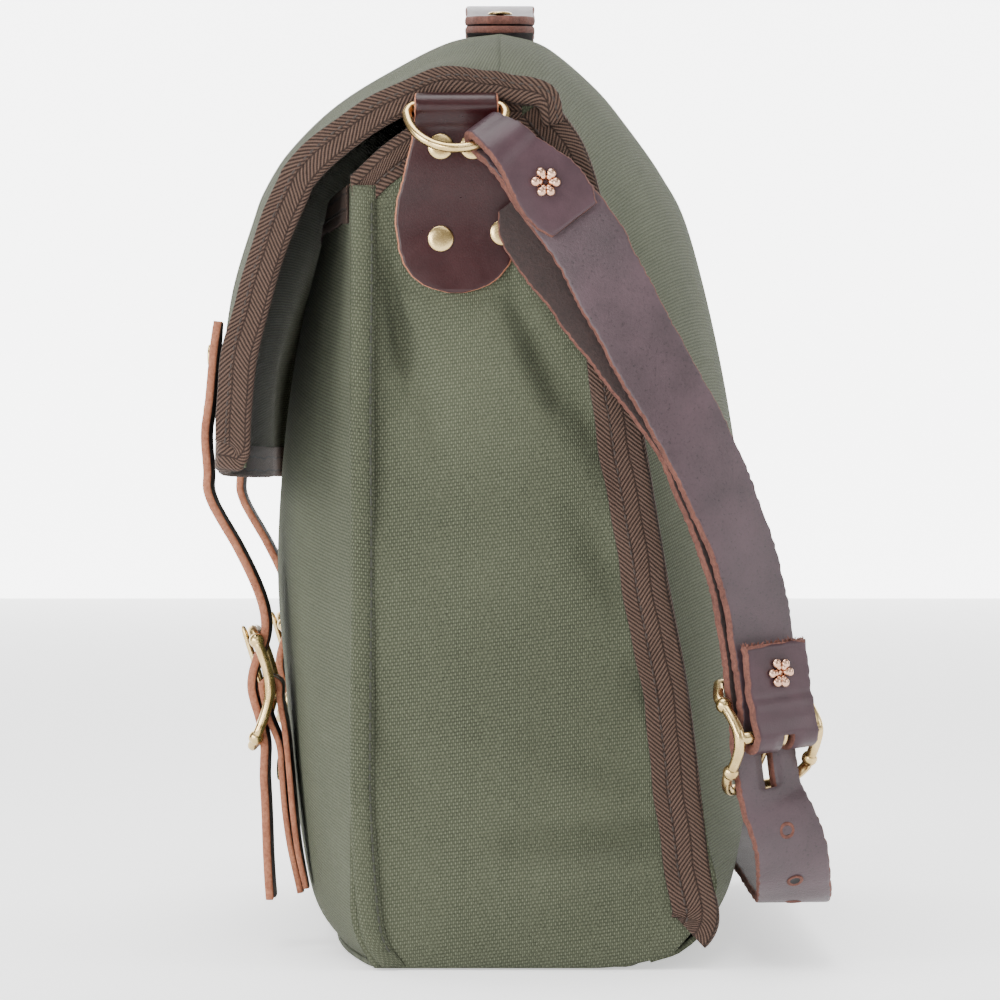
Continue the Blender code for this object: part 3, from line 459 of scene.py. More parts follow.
# %% Mesh maker
def build(name, verts, faces, finishes, body, places=None, face_finish=None,
          replaces=(), smooth=True):
    mesh = bpy.data.meshes.new(name)
    mesh.from_pydata([tuple(v) for v in verts], [], faces)
    for finish in finishes:
        mesh.materials.append(finish)
    if places:
        layer = mesh.uv_layers.new(name="cloth")
        for loop in mesh.loops:
            layer.data[loop.index].uv = places[loop.vertex_index]
    if face_finish:
        for polygon, index in zip(mesh.polygons, face_finish):
            polygon.material_index = index
    work = bmesh.new()
    work.from_mesh(mesh)
    bmesh.ops.recalc_face_normals(work, faces=work.faces)
    work.to_mesh(mesh)
    work.free()
    for polygon in mesh.polygons:
        polygon.use_smooth = smooth
    obj = bpy.data.objects.new(name, mesh)
    bpy.context.collection.objects.link(obj)
    if body:
        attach(obj, body)
    if replaces:
        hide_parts(*replaces)
    return obj


def circle(centre, first, second, radius, sides):
    """Points round a centre, from one direction toward another."""
    turns = [2 * math.pi * k / sides for k in range(sides)]
    return [centre + (first * math.cos(a) + second * math.sin(a)) * radius for a in turns]


def add_tube(faces, base, rows, count):
    """Faces of a tube: rows of points from number base on, closed at both ends."""
    for low in range(base, base + (rows - 1) * count, count):
        for k in range(count):
            m = (k + 1) % count
            faces.append((low + k, low + m, low + count + m, low + count + k))
    for end in (base, base + (rows - 1) * count):
        faces.append(tuple(range(end, end + count)))


def cloth_sheet(name, points, inner, places, body, replaces=()):
    """Closed cloth from a grid of outer points and the matching grid of inner points."""
    rows, cols = len(points), len(points[0])
    verts = [p for row in points for p in row] + [p for row in inner for p in row]
    back = rows * cols
    faces, which = [], []
    for r in range(rows - 1):
        for c in range(cols - 1):
            a, d = r * cols + c, (r + 1) * cols + c
            faces.append((a, a + 1, d + 1, d))
            faces.append((back + a, back + d, back + d + 1, back + a + 1))
            which += [0, 1]
    edge = list(range(cols)) + [r * cols + cols - 1 for r in range(1, rows)]
    edge += [(rows - 1) * cols + c for c in range(cols - 2, -1, -1)]
    edge += [r * cols for r in range(rows - 2, 0, -1)]
    for a, b in zip(edge, edge[1:] + edge[:1]):
        faces.append((a, back + a, back + b, b))
        which.append(0)
    flat = [place for row in places for place in row]
    return build(name, verts, faces, [canvas, canvas_inside], body, flat + flat,
                 which, replaces)


def grid_normals(points, inside):
    """Unit normals of a grid, pointing away from a point inside the bag."""
    rows, cols = len(points), len(points[0])
    result = []
    for r in range(rows):
        line = []
        for c in range(cols):
            u = points[r][min(c + 1, cols - 1)] - points[r][max(c - 1, 0)]
            v = points[min(r + 1, rows - 1)][c] - points[max(r - 1, 0)][c]
            n = u.cross(v)
            n.normalize()
            if n.dot(points[r][c] - inside) < 0:
                n = -n
            line.append(n)
        result.append(line)
    return result


def grid_places(points, along_start=0.0):
    """Cloth lengths in millimetres for a grid: across each row, along the middle."""
    middle = len(points[0]) // 2
    downs = lengths_along([row[middle] for row in points])
    result = []
    for row, down in zip(points, downs):
        acrosses = lengths_along(row)
        centre = acrosses[middle]
        result.append([((a - centre) / MM, down / MM + along_start) for a in acrosses])
    return result


CLOTH = 2.0 * MM  # thickness of the doubled canvas
BAG_MIDDLE = Vector((0, 0, 0.14))


def thickened(points, thickness=CLOTH, inside=BAG_MIDDLE):
    """The inner face of a cloth whose outer face is the grid."""
    return [[p - n * thickness for p, n in zip(prow, nrow)]
            for prow, nrow in zip(points, grid_normals(points, inside))]


print("mesh maker ready")

# %% [markdown]
# The bag's section changes across its width: squarer at the side seams, fuller in the
# middle.  Each panel is two side profiles, one for the seam and one for the middle,
# with a rounded blend between them.  The same numbers as the rigid model keep every
# strap and buckle just touching the cloth.

# %% Profiles of the bag
HALF_WIDTH = 185.0 * MM
FLAP_HALF = 186.5 * MM
FRONT_END = [(-50, 262), (-50, 205), (-50, 140), (-50, 90), (-50, 50), (-47, 14), (-40, 1)]
FRONT_MIDDLE = [(-62, 262), (-76, 205), (-82, 140), (-79, 90), (-75, 50), (-69, 16), (-59, 1)]
TOP_END = [(13, 297), (0, 298), (-14, 296), (-28, 291), (-43, 284), (-57, 274), (-66, 265)]
TOP_MIDDLE = [(17, 323), (0, 327), (-18, 324), (-38, 314), (-60, 300), (-77, 283), (-86, 269)]
FLAP_END = [(-69, 259), (-77, 240), (-82, 222), (-86, 205), (-88, 187), (-89, 168)]
FLAP_MIDDLE = [(-90, 258), (-97, 235), (-100, 215), (-101, 200), (-102, 184), (-101, 167)]
MOUTH_END = [(-50, 264), (-38, 275), (-24, 284), (-8, 289), (12, 290)]


def fill(x, half):
    return max(0.0, 1.0 - abs(x / half) ** 2.6)


def side_points(x, profile):
    """Points at one x, from (y, z) pairs in millimetres."""
    return [Vector((x, y * MM, z * MM)) for y, z in profile]


def profile_curve(profile, count, x=0.0):
    return smooth_curve(side_points(x, profile), count)


def profile_row(end, middle, xs, half):
    """A row of points across the bag, between an end point and a middle point."""
    row = [end.lerp(middle, fill(x, half)) for x in xs]
    for p, x in zip(row, xs):
        p.x = x
    return row


def lookup(grid, x, z):
    """The y of a front-facing grid at (x, z)."""
    xs = [p.x for p in grid[0]]
    column = min(range(len(xs)), key=lambda c: abs(xs[c] - x))
    return min((row[column] for row in grid), key=lambda p: abs(p.z - z)).y


def even_xs(half, count):
    """Stations closer together near the side seams, where the cloth turns."""
    return [half * math.sin(math.pi / 2 * (2 * k / (count - 1) - 1)) for k in range(count)]


print("profiles ready")

# %% [markdown]
# The side gusset is one piece of canvas.  It is nearly flat, swells a little, puckers
# under the riveted tab and breaks into one soft fold near the floor, where the weight
# of the cloth settles.  Those are slow shapes, so they are small moves of the grid;
# anything finer is left to the weave.

# %% Gusset surface
BACK_SEAM = [(58, 0), (72, 14), (69, 37), (62.5, 91), (55.5, 130), (48.5, 172), (41.5, 215),
             (36, 245), (28, 274), (14, 294)]
mouth_line = profile_curve(MOUTH_END, 60)
back_line = profile_curve(BACK_SEAM, 160)


def bell(value, centre, width):
    return math.exp(-((value - centre) / width) ** 2)


CREASES = [  # start, end, half-width and depth, all in millimetres
    ((-38, 238), (-33, 204), 3.0, 3.0), ((-34, 226), (-20, 176), 5.5, 2.2),
    ((4, 226), (19, 190), 4.5, 2.8), ((15, 208), (41, 164), 6.5, 3.0),
    ((-46, 196), (-40, 150), 4.5, 1.8), ((-30, 215), (-31, 190), 2.5, 1.2),
    ((6, 42), (64, 45), 5.5, 3.0), ((18, 31), (68, 35), 6.0, -2.4),
    ((16, 74), (60, 62), 8.0, 2.2), ((28, 150), (44, 120), 7.0, 2.0),
    ((-44, 90), (-30, 60), 7.0, 1.6), ((46, 100), (54, 84), 4.0, 1.6)]


def gusset_relief(y, z):
    """Height of the puckers and folds at a place on the gusset, in millimetres."""
    height = 0.7 * math.sin(z / 15.0 + y / 21.0) * bell(y, -43, 8) * ease(z, 20, 60)
    height += 0.7 * math.sin(z / 12.0 - y / 17.0) * bell(y, 0.155 * (260 - z) + 30, 10)
    height += 1.8 * math.sin(y / 19.0 + z / 60.0 + 0.6) * math.sin(z / 55.0 + 0.5)
    height -= 2.4 * bell(y, -38, 12) * bell(z, 215, 45)
    for (y0, z0), (y1, z1), width, depth in CREASES:
        run = (y1 - y0) ** 2 + (z1 - z0) ** 2
        part = min(1.0, max(0.0, ((y - y0) * (y1 - y0) + (z - z0) * (z1 - z0)) / run))
        away = math.hypot(y - y0 - part * (y1 - y0), z - z0 - part * (z1 - z0))
        fade = 0.35 + 0.65 * math.sin(math.pi * (0.12 + 0.76 * part))
        height -= depth * fade * math.exp(-(away / width) ** 2)
    under_tab = ease(z, 216, 228) * bell(y, -14, 22)
    return min(height, 0.4) if under_tab > 0.5 else height * (1 - 0.5 * under_tab)


def between(pairs, value):
    """Straight-line lookup in (key, result) pairs with rising keys."""
    for (a, p), (b, q) in zip(pairs, pairs[1:]):
        if value <= b:
            return p + (q - p) * min(1.0, max(0.0, (value - a) / max(b - a, 1e-9)))
    return pairs[-1][1]


mouth_pairs = [(p.y, p.z) for p in mouth_line]
back_pairs = [(p.z, p.y) for p in back_line]


def mouth_height(y):
    return between(mouth_pairs, y)


GUSSET_TALL = 0.291
RELIEF_SCALE = 1.7
EDGE_RISE = 2.3 * MM  # how far out the gusset's edge stands past the panels


def gusset_front(t):
    """The gusset's front edge, which runs back a little near the floor."""
    return -50.0 * MM + 8.0 * MM * max(0.0, 1 - t / 0.08) ** 2


def gusset_low(y):
    """The gusset's lower edge, which curls up toward the back."""
    return 0.4 * MM + 11.0 * MM * max(0.0, (y - 0.030) / 0.042) ** 2


def gusset_point(u, t, sign, relief=1.0):
    """A place on the gusset: u from front to back, t from floor to mouth."""
    front = gusset_front(t)
    back = between(back_pairs, GUSSET_TALL * t)
    y = front + (back - front) * u
    low = gusset_low(y)
    z = low + (mouth_height(y) - low) * t
    swell = 2.8 * MM * (4 * u * (1 - u)) ** 0.8 * (4 * t * (1 - t)) ** 0.5
    edge = min(1.0, 6 * u, 6 * (1 - u)) * min(1.0, 10 * t, 6 * (1 - t))
    swell += relief * gusset_relief(y / MM, z / MM) * RELIEF_SCALE * MM * edge
    tuck = 2.2 * MM * max(0.0, 1 - t / 0.035) ** 2
    return Vector((sign * (HALF_WIDTH + EDGE_RISE + swell - tuck), y, z))


for side, sign in SIDES.items():
    grid = [[gusset_point(u, t, sign) for u in spread(0, 1, 70)] for t in spread(0, 1, 170)]
    inner = [[p - X * (sign * 1.9 * MM) for p in row] for row in grid]
    places = [[(p.y / MM, p.z / MM) for p in row] for row in grid]
    cloth_sheet("gusset_" + side, grid, inner, places, "bag",
                replaces=["side_gusset_" + side])
print("two gussets of", len(grid) * len(grid[0]), "points")

# %% [markdown]
# The front panel wraps round the front corner and laps 8 mm onto the gusset, where a
# row of stitches holds it.  The lap is what makes the raised ridge down the side, so
# the panel's grid simply goes on round the corner.

# %% Front panel and base
def gusset_x(y, z, sign):
    """How far out the gusset stands at (y, z)."""
    low = gusset_low(y)
    t = min(1.0, max(0.0, (z - low) / (mouth_height(y) - low)))
    front = gusset_front(t)
    u = min(1.0, max(0.0, (y - front) / (between(back_pairs, GUSSET_TALL * t) - front)))
    return gusset_point(u, t, sign).x


FRONT_ROWS = 110
LAP = ((0.8, 0.4), (2.1, 1.5), (2.4, 3.4), (1.9, 5.6), (1.2, 7.2), (0.7, 8.6))
front_xs = even_xs(HALF_WIDTH - 0.6 * MM, 71)
front_grid = [profile_row(end, middle, front_xs, HALF_WIDTH)
              for end, middle in zip(profile_curve(FRONT_END, FRONT_ROWS),
                                     profile_curve(FRONT_MIDDLE, FRONT_ROWS))]
lapped = []
for row in front_grid:
    for p in row:
        wave = 0.7 * MM * math.sin(p.z / 0.017 + p.x / 0.06) * ease(p.z, 0.0, 0.03)
        p.y -= wave * bell(abs(p.x), 0.150, 0.03)
    ends = {}
    for sign, corner in ((-1, row[0]), (1, row[-1])):
        out = gusset_x(corner.y + 4 * MM, corner.z, sign)
        ends[sign] = [Vector((sign * 186.6 * MM, corner.y + 0.1 * MM, corner.z))]
        ends[sign] += [Vector((out + sign * rise * MM, corner.y + back * MM, corner.z))
                       for rise, back in LAP]
    lapped.append(ends[-1][::-1] + row + ends[1])
front_inner = thickened(lapped, 1.1 * MM, Vector((0, 0.02, 0.14)))
cloth_sheet("front_panel_cloth", lapped, front_inner, grid_places(lapped), "bag",
            replaces=["front_panel"])


def base_row(x, count):
    w = fill(x, HALF_WIDTH)
    front, back = -41.5 * MM - 18.5 * MM * w, 52.0 * MM + 26.0 * MM * w
    row = []
    for part in spread(0, 1, count):
        y = front + (back - front) * part
        lift = 0.3 * MM + 5.5 * MM * ease(part, 0.9, 1.0)
        row.append(Vector((x, y, lift + 0.5 * MM * ease(abs(x), 0.176, 0.185))))
    return row


base_grid = [base_row(x, 20) for x in even_xs(HALF_WIDTH, 41)]
base_inner = [[p + Z * 1.7 * MM for p in row] for row in base_grid]
base_places = [[(p.x / MM, p.y / MM) for p in row] for row in base_grid]
cloth_sheet("base_cloth", base_grid, base_inner, base_places, "bag", replaces=["base_panel"])
print("front panel of", len(lapped) * len(lapped[0]), "points, and the base")

# %% [markdown]
# The back panel runs up over the top and on into the flap as one cloth.  It crosses
# two hinge lines, and a piece can bend across only one, so it is made as two sheets
# that meet along the top of the crown, where the carry handle covers part of the join.

# %% Back panel, crown and flap
BACK_ROWS = 130
crown_end = [(50, 2), (61, 6), (68, 16), (64, 45), (58, 90), (50, 145), (42, 195),
             (33, 245), (26, 269), (19, 286), (14.5, 294), (8, 297.5), (0, 298)]
crown_middle = [(77, 8), (83, 17), (87, 33), (92, 62), (94, 105), (90, 155), (82, 208),
                (70, 256), (60, 276), (47, 294), (35, 308), (17, 322), (0, 327)]
back_grid = []
for end, middle in zip(profile_curve(crown_end, BACK_ROWS),
                       profile_curve(crown_middle, BACK_ROWS)):
    widen = ease(end.z, 0.287, 0.2965)
    row = profile_row(end, middle, even_xs((183.9 + 2.6 * widen) * MM, 71),
                      HALF_WIDTH + 2.5 * MM * widen)
    for p in row:
        soft = 1.1 * MM * math.sin(p.x / 0.038 + p.z / 0.07) * bell(p.z, 0.13, 0.1)
        p.y += soft * (1 - (abs(p.x) / 0.19) ** 2)
    back_grid.append(row)
back_cloth = cloth_sheet("back_and_crown", back_grid, thickened(back_grid),
                         grid_places(back_grid), None, replaces=["back_panel"])
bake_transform(back_cloth)


def ripple_flap(p, down):
    """Soft ripples that grow toward the flap's edge, but not under the closing straps."""
    ripple = 0.9 * MM * math.sin(p.x / 0.030 + 1.0) * ease(down, 0.35, 1.0)
    ripple += 0.6 * MM * math.sin(p.z / 0.012 + p.x / 0.05) * bell(abs(p.x), 0.17, 0.02)
    clear = 1 - bell(abs(p.x), 0.100, 0.022)
    p.y -= ripple * clear * (1 - ease(abs(p.x), 0.150, 0.186) * 0.6)


flap_end = TOP_END[1:] + FLAP_END
flap_middle = TOP_MIDDLE[1:] + FLAP_MIDDLE
FLAP_ROWS = 110
SIDE_LIFT = 4.6 * MM  # how far the flap's sides stand up over the mouth's tape
side_curve = profile_curve(flap_end, FLAP_ROWS)
middle_curve = profile_curve(flap_middle, FLAP_ROWS)
# The side's edge is turned down: x in millimetres, and the share of the depth.
TURNED_SIDE = ((185.4, 0.04), (186.9, 0.14), (187.7, 0.28), (188.3, 0.45), (188.9, 0.62),
               (189.4, 0.80), (189.7, 1.0))
flap_grid, side_depth, side_way = [], [], []
for r in range(FLAP_ROWS):
    row = profile_row(side_curve[r], middle_curve[r], even_xs(183.6 * MM, 67),
                      FLAP_HALF + 1 * MM)
    step = side_curve[min(r + 1, FLAP_ROWS - 1)] - side_curve[max(r - 1, 0)]
    way = Vector((0, step.z, -step.y)).normalized()
    way = way if way.dot(Vector((0, -0.3, 1))) > 0 else -way
    depth = (9.6 - 2.2 * bell(side_curve[r].y, -0.010, 0.026)) * MM
    side_depth.append(depth)
    side_way.append(way)
    for p in row:
        ripple_flap(p, r / (FLAP_ROWS - 1))
        p += way * SIDE_LIFT * ease(abs(p.x), 0.140, 0.183) * ease(r, 0, 14)
    sides = {}
    for sign, corner in ((-1, row[0]), (1, row[-1])):
        strip = []
        for x, part in TURNED_SIDE:
            p = corner - way * depth * part
            wave = 0.4 * MM * math.sin(r / 5.0 + sign) * part
            p.x = sign * (x * MM + wave)
            strip.append(p)
        sides[sign] = strip
    flap_grid.append(sides[-1][::-1] + row + sides[1])
along = lengths_along([row[35] for row in back_grid])[-1] / MM
flap_cloth = cloth_sheet("flap_cloth", flap_grid, thickened(flap_grid),
                         grid_places(flap_grid, along), None,
                         replaces=["flap_top", "flap_front"])
FOLD_START, FOLD_END = (0, -0.062, 0.290), (0, -0.088, 0.245)
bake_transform(flap_cloth)
print("one cloth from the base, over the crown, to the flap's edge")

# %% [markdown]
# Every free edge is bound: the tape is folded over it and sewn through.  A section of
# the fold is carried along the edge, its legs following the cloth and its bight
# rounded.  Small wavering in its width and height keeps it from looking moulded.

# %% Binding tape
STITCH_LINE = 0.66  # where the stitches run, as a share of the visible leg
VISIBLE_LEG = (1.0, 0.985, 0.93, 0.8, 0.66, 0.6, 0.54, 0.4, 0.25, 0.1, 0.02)
BIGHT_ANGLES = (20, 55, 90, 125, 160)
BIGHT = 1.3 * MM  # how far the fold stands past the cloth's edge


def tape_piece(name, edge, inward, normals, body, replaces, legs, inner_legs, sag, seed):
    """Tape over an edge: edge points, the way in from the edge, and the cloth normals."""
    wander = random.Random(seed)
    phases = [wander.uniform(0, 6.28) for _ in range(4)]
    verts, places = [], []
    down = lengths_along(edge)
    half = CLOTH / 2 + 0.15 * MM
    lift = half + 0.75 * MM
    for i, (p, w, n) in enumerate(zip(edge, inward, normals)):
        s = down[i] / MM
        sway = 0.35 * MM * math.sin(s / 9.0 + phases[0]) + 0.2 * MM * math.sin(s / 3.7 + phases[1])
        puff = 0.25 * MM * math.sin(s / 6.0 + phases[2]) + 0.15 * MM * math.sin(s / 2.3 + phases[3])
        long = legs[i] + sway * min(1.0, legs[i] / (12 * MM))
        short = inner_legs[i] + sway * 0.3
        outer = []
        for part in VISIBLE_LEG:
            d = long * part
            sewn = -0.22 * MM * bell(part, STITCH_LINE, 0.035)
            roll = -0.45 * MM if part == 1.0 else 0.0
            outer.append(p + w * d + n * (lift + roll + sewn + puff * (1 - part) + sag(i, d)))
        for a in map(math.radians, BIGHT_ANGLES):
            outer.append(p - w * (math.sin(a) * BIGHT) + n * (math.cos(a) * lift))
        for part in (0.05, 0.5, 1.0):
            d = short * part
            outer.append(p + w * d - n * (lift - sag(i, d)))
        lining = [p + w * d - n * (half - sag(i, d))
                  for d in (short * part for part in (1.0, 0.5, 0.06))]
        lining.append(p - w * 0.4 * MM)
        lining += [p + w * d + n * (half + sag(i, d))
                   for d in (long * part for part in (0.06, 0.3, 0.66, 0.99))]
        ring = outer + lining
        verts += ring
        places += [(run / MM, s) for run in lengths_along(ring)]
    faces = []
    add_tube(faces, 0, len(edge), len(ring))
    return build(name, verts, faces, [tape], body, places,
                 replaces=replaces)


def stitch_row(name, points, normals, body, finish, pitch=3.1, length=2.35, radius=0.36):
    """Lock stitches along a path: short twisted threads that dive into the cloth."""
    total = lengths_along(points)
    wander = random.Random(len(points))
    verts, faces = [], []
    s = 1.0 * MM
    while s + length * MM < total[-1]:
        first = len(verts)
        size = length * MM * wander.uniform(0.92, 1.06)
        for part in (0.0, 0.12, 0.35, 0.65, 0.88, 1.0):
            step, mix = place_on(total, s + size * part)
            p = points[step].lerp(points[step + 1], mix)
            n = normals[step]
            tangent = (points[step + 1] - points[step]).normalized()
            out_way = tangent.cross(n).normalized()
            arch = math.sin(math.pi * part)
            r = radius * MM * (0.55 + 0.45 * arch)
            centre = p + n * (radius * MM * (1.3 * arch - 0.75))
            verts += circle(centre, out_way, n, r, 6)
        add_tube(faces, first, 6, 6)
        s += pitch * MM
    return build(name, verts, faces, [finish], body)


print("tape and stitch makers ready")

# %% [markdown]
# The tape runs: over the back seam on each gusset, round the mouth, and round three
# sides of the flap.  The back seam's tape shows one wide leg on the gusset; its other
# leg is hidden in the seam, so it is short.

# %% Tape over the edges
def polyline(points, pitch):
    """The same path with evenly spaced points."""
    total = lengths_along(points)[-1]
    return smooth_curve(points, max(4, int(total / pitch)))


def tape_with_stitch(name, edge, inward, normals, body, replaces, leg, inner_leg, seed,
                     blend=None, sag=None):
    """A length of tape and the row of stitches that holds it; a leg can vary along it."""
    legs, inner_legs = (value if isinstance(value, list) else [value] * len(edge)
                        for value in (leg, inner_leg))
    sag = sag or (lambda i, d: 0.0)
    held = tape_piece(name, edge, inward, normals, body, replaces, legs, inner_legs, sag, seed)
    lift = CLOTH / 2 + 0.7 * MM
    line = [p + w * long * STITCH_LINE + n * (lift + sag(i, long * STITCH_LINE))
            for i, (p, w, n, long) in enumerate(zip(edge, inward, normals, legs))]
    thread = stitch_row(name + "_stitches", line, normals, body, brown_thread)
    if blend:
        for piece in (held, thread):
            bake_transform(piece)


for side, sign in SIDES.items():
    edge, inward, normals = [], [], []
    seam = polyline(profile_curve(BACK_SEAM, 60), 1.6 * MM)
    for p, step in zip(seam, unit_steps(seam)):
        t = min(1.0, max(0.0, p.z / GUSSET_TALL))
        skin = gusset_point(1.0, t, sign, 0.0)
        edge.append(Vector((skin.x - sign * 1.0 * MM, p.y - 0.4 * MM, p.z)))
        across = Vector((0, -step.z, step.y)).normalized()
        middle = Vector((0, 0.010 - p.y, 0.140 - p.z))
        inward.append(across if across.dot(middle) > 0 else -across)
        normals.append(X * sign)

    def follow(i, d, sign=sign, edge=edge, inward=inward):
        """How far the gusset has swollen out under the tape, d in from its edge."""
        q = edge[i] + inward[i] * d
        return max(0.0, sign * (gusset_x(q.y, q.z, sign) - edge[i].x) - 1.0 * MM)

    first = next(i for i, p in enumerate(edge) if p.z > 7.5 * MM)
    tape_with_stitch("back_seam_tape_" + side, edge[first:-2], inward[first:-2],
                     normals[first:-2], "bag", ["back_binding_" + side], 14.5 * MM, 6.0 * MM,
                     7 + sign, sag=lambda i, d, f=follow, k=first: f(i + k, d))

    rim = polyline(mouth_line[:-4], 1.6 * MM)
    edge = [Vector((gusset_point(0.5, 1.0, sign, 0.0).x - sign * 1.0 * MM, p.y, p.z))
            for p in rim]
    inward = [Vector((0, abs(s.z) * 0.2, -1)).normalized() for s in unit_steps(rim)]
    tape_with_stitch("mouth_tape_" + side, edge, inward, [X * sign] * len(edge),
                     "bag", ["mouth_binding_" + side], 13 * MM, 12 * MM, 3 + sign,
                     sag=lambda i, d: 0.4 * MM * math.sin(d / 0.012 * 3.14) ** 2)

top_row = front_grid[0]
edge, normals = [], []
for k, p in enumerate(top_row):
    n = (front_grid[1][k] - p).cross(X).normalized()
    n = n if n.y < 0 else -n
    edge.append(p - n * 1.0 * MM)
    normals.append(n)
inward = [(front_grid[2][k] - front_grid[0][k]).normalized() for k in range(len(top_row))]
tape_with_stitch("mouth_tape_front", edge[4:-4], inward[4:-4], normals[4:-4], "bag",
                 ["mouth_binding_front"], 12 * MM, 12 * MM, 5)
print("seams and mouth are bound")

# %% [markdown]
# The flap's tape is one length: down one side, round two corners, and up the other.
# It crosses the fold; like the cloth it is sewn to, it rides on no body and
# is fixed where it is built.

# %% Tape round the flap
def side_steps(rows, column, sign):
    """(point, way in, normal, visible leg) down one turned side of the flap."""
    return [(flap_grid[r][column], side_way[r], X * sign, side_depth[r] + 1.0 * MM)
            for r in rows]


last_row, last_col = len(flap_grid) - 1, len(flap_grid[0]) - 1
flap_normals = grid_normals(flap_grid, BAG_MIDDLE)
BEHIND = [(11.0, 297.3), (8.0, 297.6), (4.5, 297.9)]  # (y, z) behind the flap's first row


def side_start(sign):
    """The tape runs on behind the flap's first row and turns down at the corner."""
    out = X * sign
    low = Vector((sign * 189.7 * MM, 11.5 * MM, 297.3 * MM - side_depth[0] - 3.0 * MM))
    steps = [(low + Vector((0, 4.0, -5.0)) * MM, Vector((0, 0.97, 0.25)), out, 6.0 * MM)]
    for degrees, leg in ((90, 6.0), (67, 7.0), (45, 8.0), (22, 9.0)):
        way = Vector((0, math.sin(math.radians(degrees)), math.cos(math.radians(degrees))))
        steps.append((low + way * 3.0 * MM, way, out, leg * MM))
    return steps + [(Vector((low.x, y * MM, z * MM - side_depth[0])), Z, out,
                     side_depth[0] + 1.0 * MM) for y, z in BEHIND]


border = side_start(1) + side_steps(range(1, last_row - 2), last_col, 1)
for c in range(last_col - 1, 0, -1):
    p, higher = flap_grid[last_row][c], flap_grid[last_row - 6][c]
    border.append((p, (higher - p).normalized(), flap_normals[last_row][c], 14 * MM))
border += side_steps(range(last_row - 3, 0, -1), 0, -1) + side_start(-1)[::-1]
raw = [p - n * 1.0 * MM for p, way, n, leg in border]
edge = polyline(raw, 1.7 * MM)
inward, normals, legs = [], [], []
for p in edge:
    near = min(range(len(raw)), key=lambda k: (raw[k] - p).length_squared)
    inward.append(border[near][1])
    normals.append(border[near][2])
    legs.append(border[near][3])
for _ in range(6):
    for run in (inward, normals):
        run[1:-1] = [(a + b + c).normalized() for a, b, c in zip(run, run[1:], run[2:])]
    legs[1:-1] = [(a + b + c) / 3 for a, b, c in zip(legs, legs[1:], legs[2:])]
inward = [(w - n * w.dot(n)).normalized() for w, n in zip(inward, normals)]
tape_with_stitch("flap_tape", edge, inward, normals, None,
                 ["flap_binding_left", "flap_binding_right", "flap_binding_front"],
                 legs, [leg - 3 * MM for leg in legs], 11,
                 blend=("flap_top", "flap_front", FOLD_START, FOLD_END))

for side, sign in SIDES.items():
    ridge = []
    for row in lapped:
        corner = row[-2] if sign > 0 else row[1]
        ridge.append(corner + Vector((sign * 0.7 * MM, 0, 0)))
    line = polyline(ridge[2:-2], 1.5 * MM)
    stitch_row("front_seam_stitches_" + side, line, [X * sign] * len(line), "bag",
               olive_thread, pitch=3.4, length=2.7, radius=0.42)
print("the flap is bound and the front seams are sewn")

# %% [markdown]
# Every strap and tab is a band cut from hide: a smooth face, a fibrous back, and
# rounded edges between them.  The section is carried along the strap's middle line.
# A knife never cuts quite straight, so the edge wavers, and a slot for a prong is left
# open in the middle of the band where it is asked for.

# %% Leather band maker
SLOT_HALF = 2.3 * MM
BAND_PITCH = 1.3 * MM
SECTION = 24  # points round a band, face then back
SLIT_FACE, SLIT_BACK = 5, 17  # the spans of a section that a slot leaves open
ROUNDING = ((0.0, 0.3), (0.15, 0.72), (0.5, 0.95), (1.3, 1.0))  # in from the edge, height


def resample(points, normals, widths):
    """The same band with evenly spaced stations."""
    down = lengths_along(points)
    count = max(6, int(down[-1] / BAND_PITCH))
    out_normals, out_widths = [], []
    for i in range(count):
        k, part = place_on(down, down[-1] * i / (count - 1))
        out_normals.append(normals[k].lerp(normals[k + 1], part).normalized())
        out_widths.append(widths[k] + (widths[k + 1] - widths[k]) * part)
    return smooth_curve(points, count), out_normals, out_widths


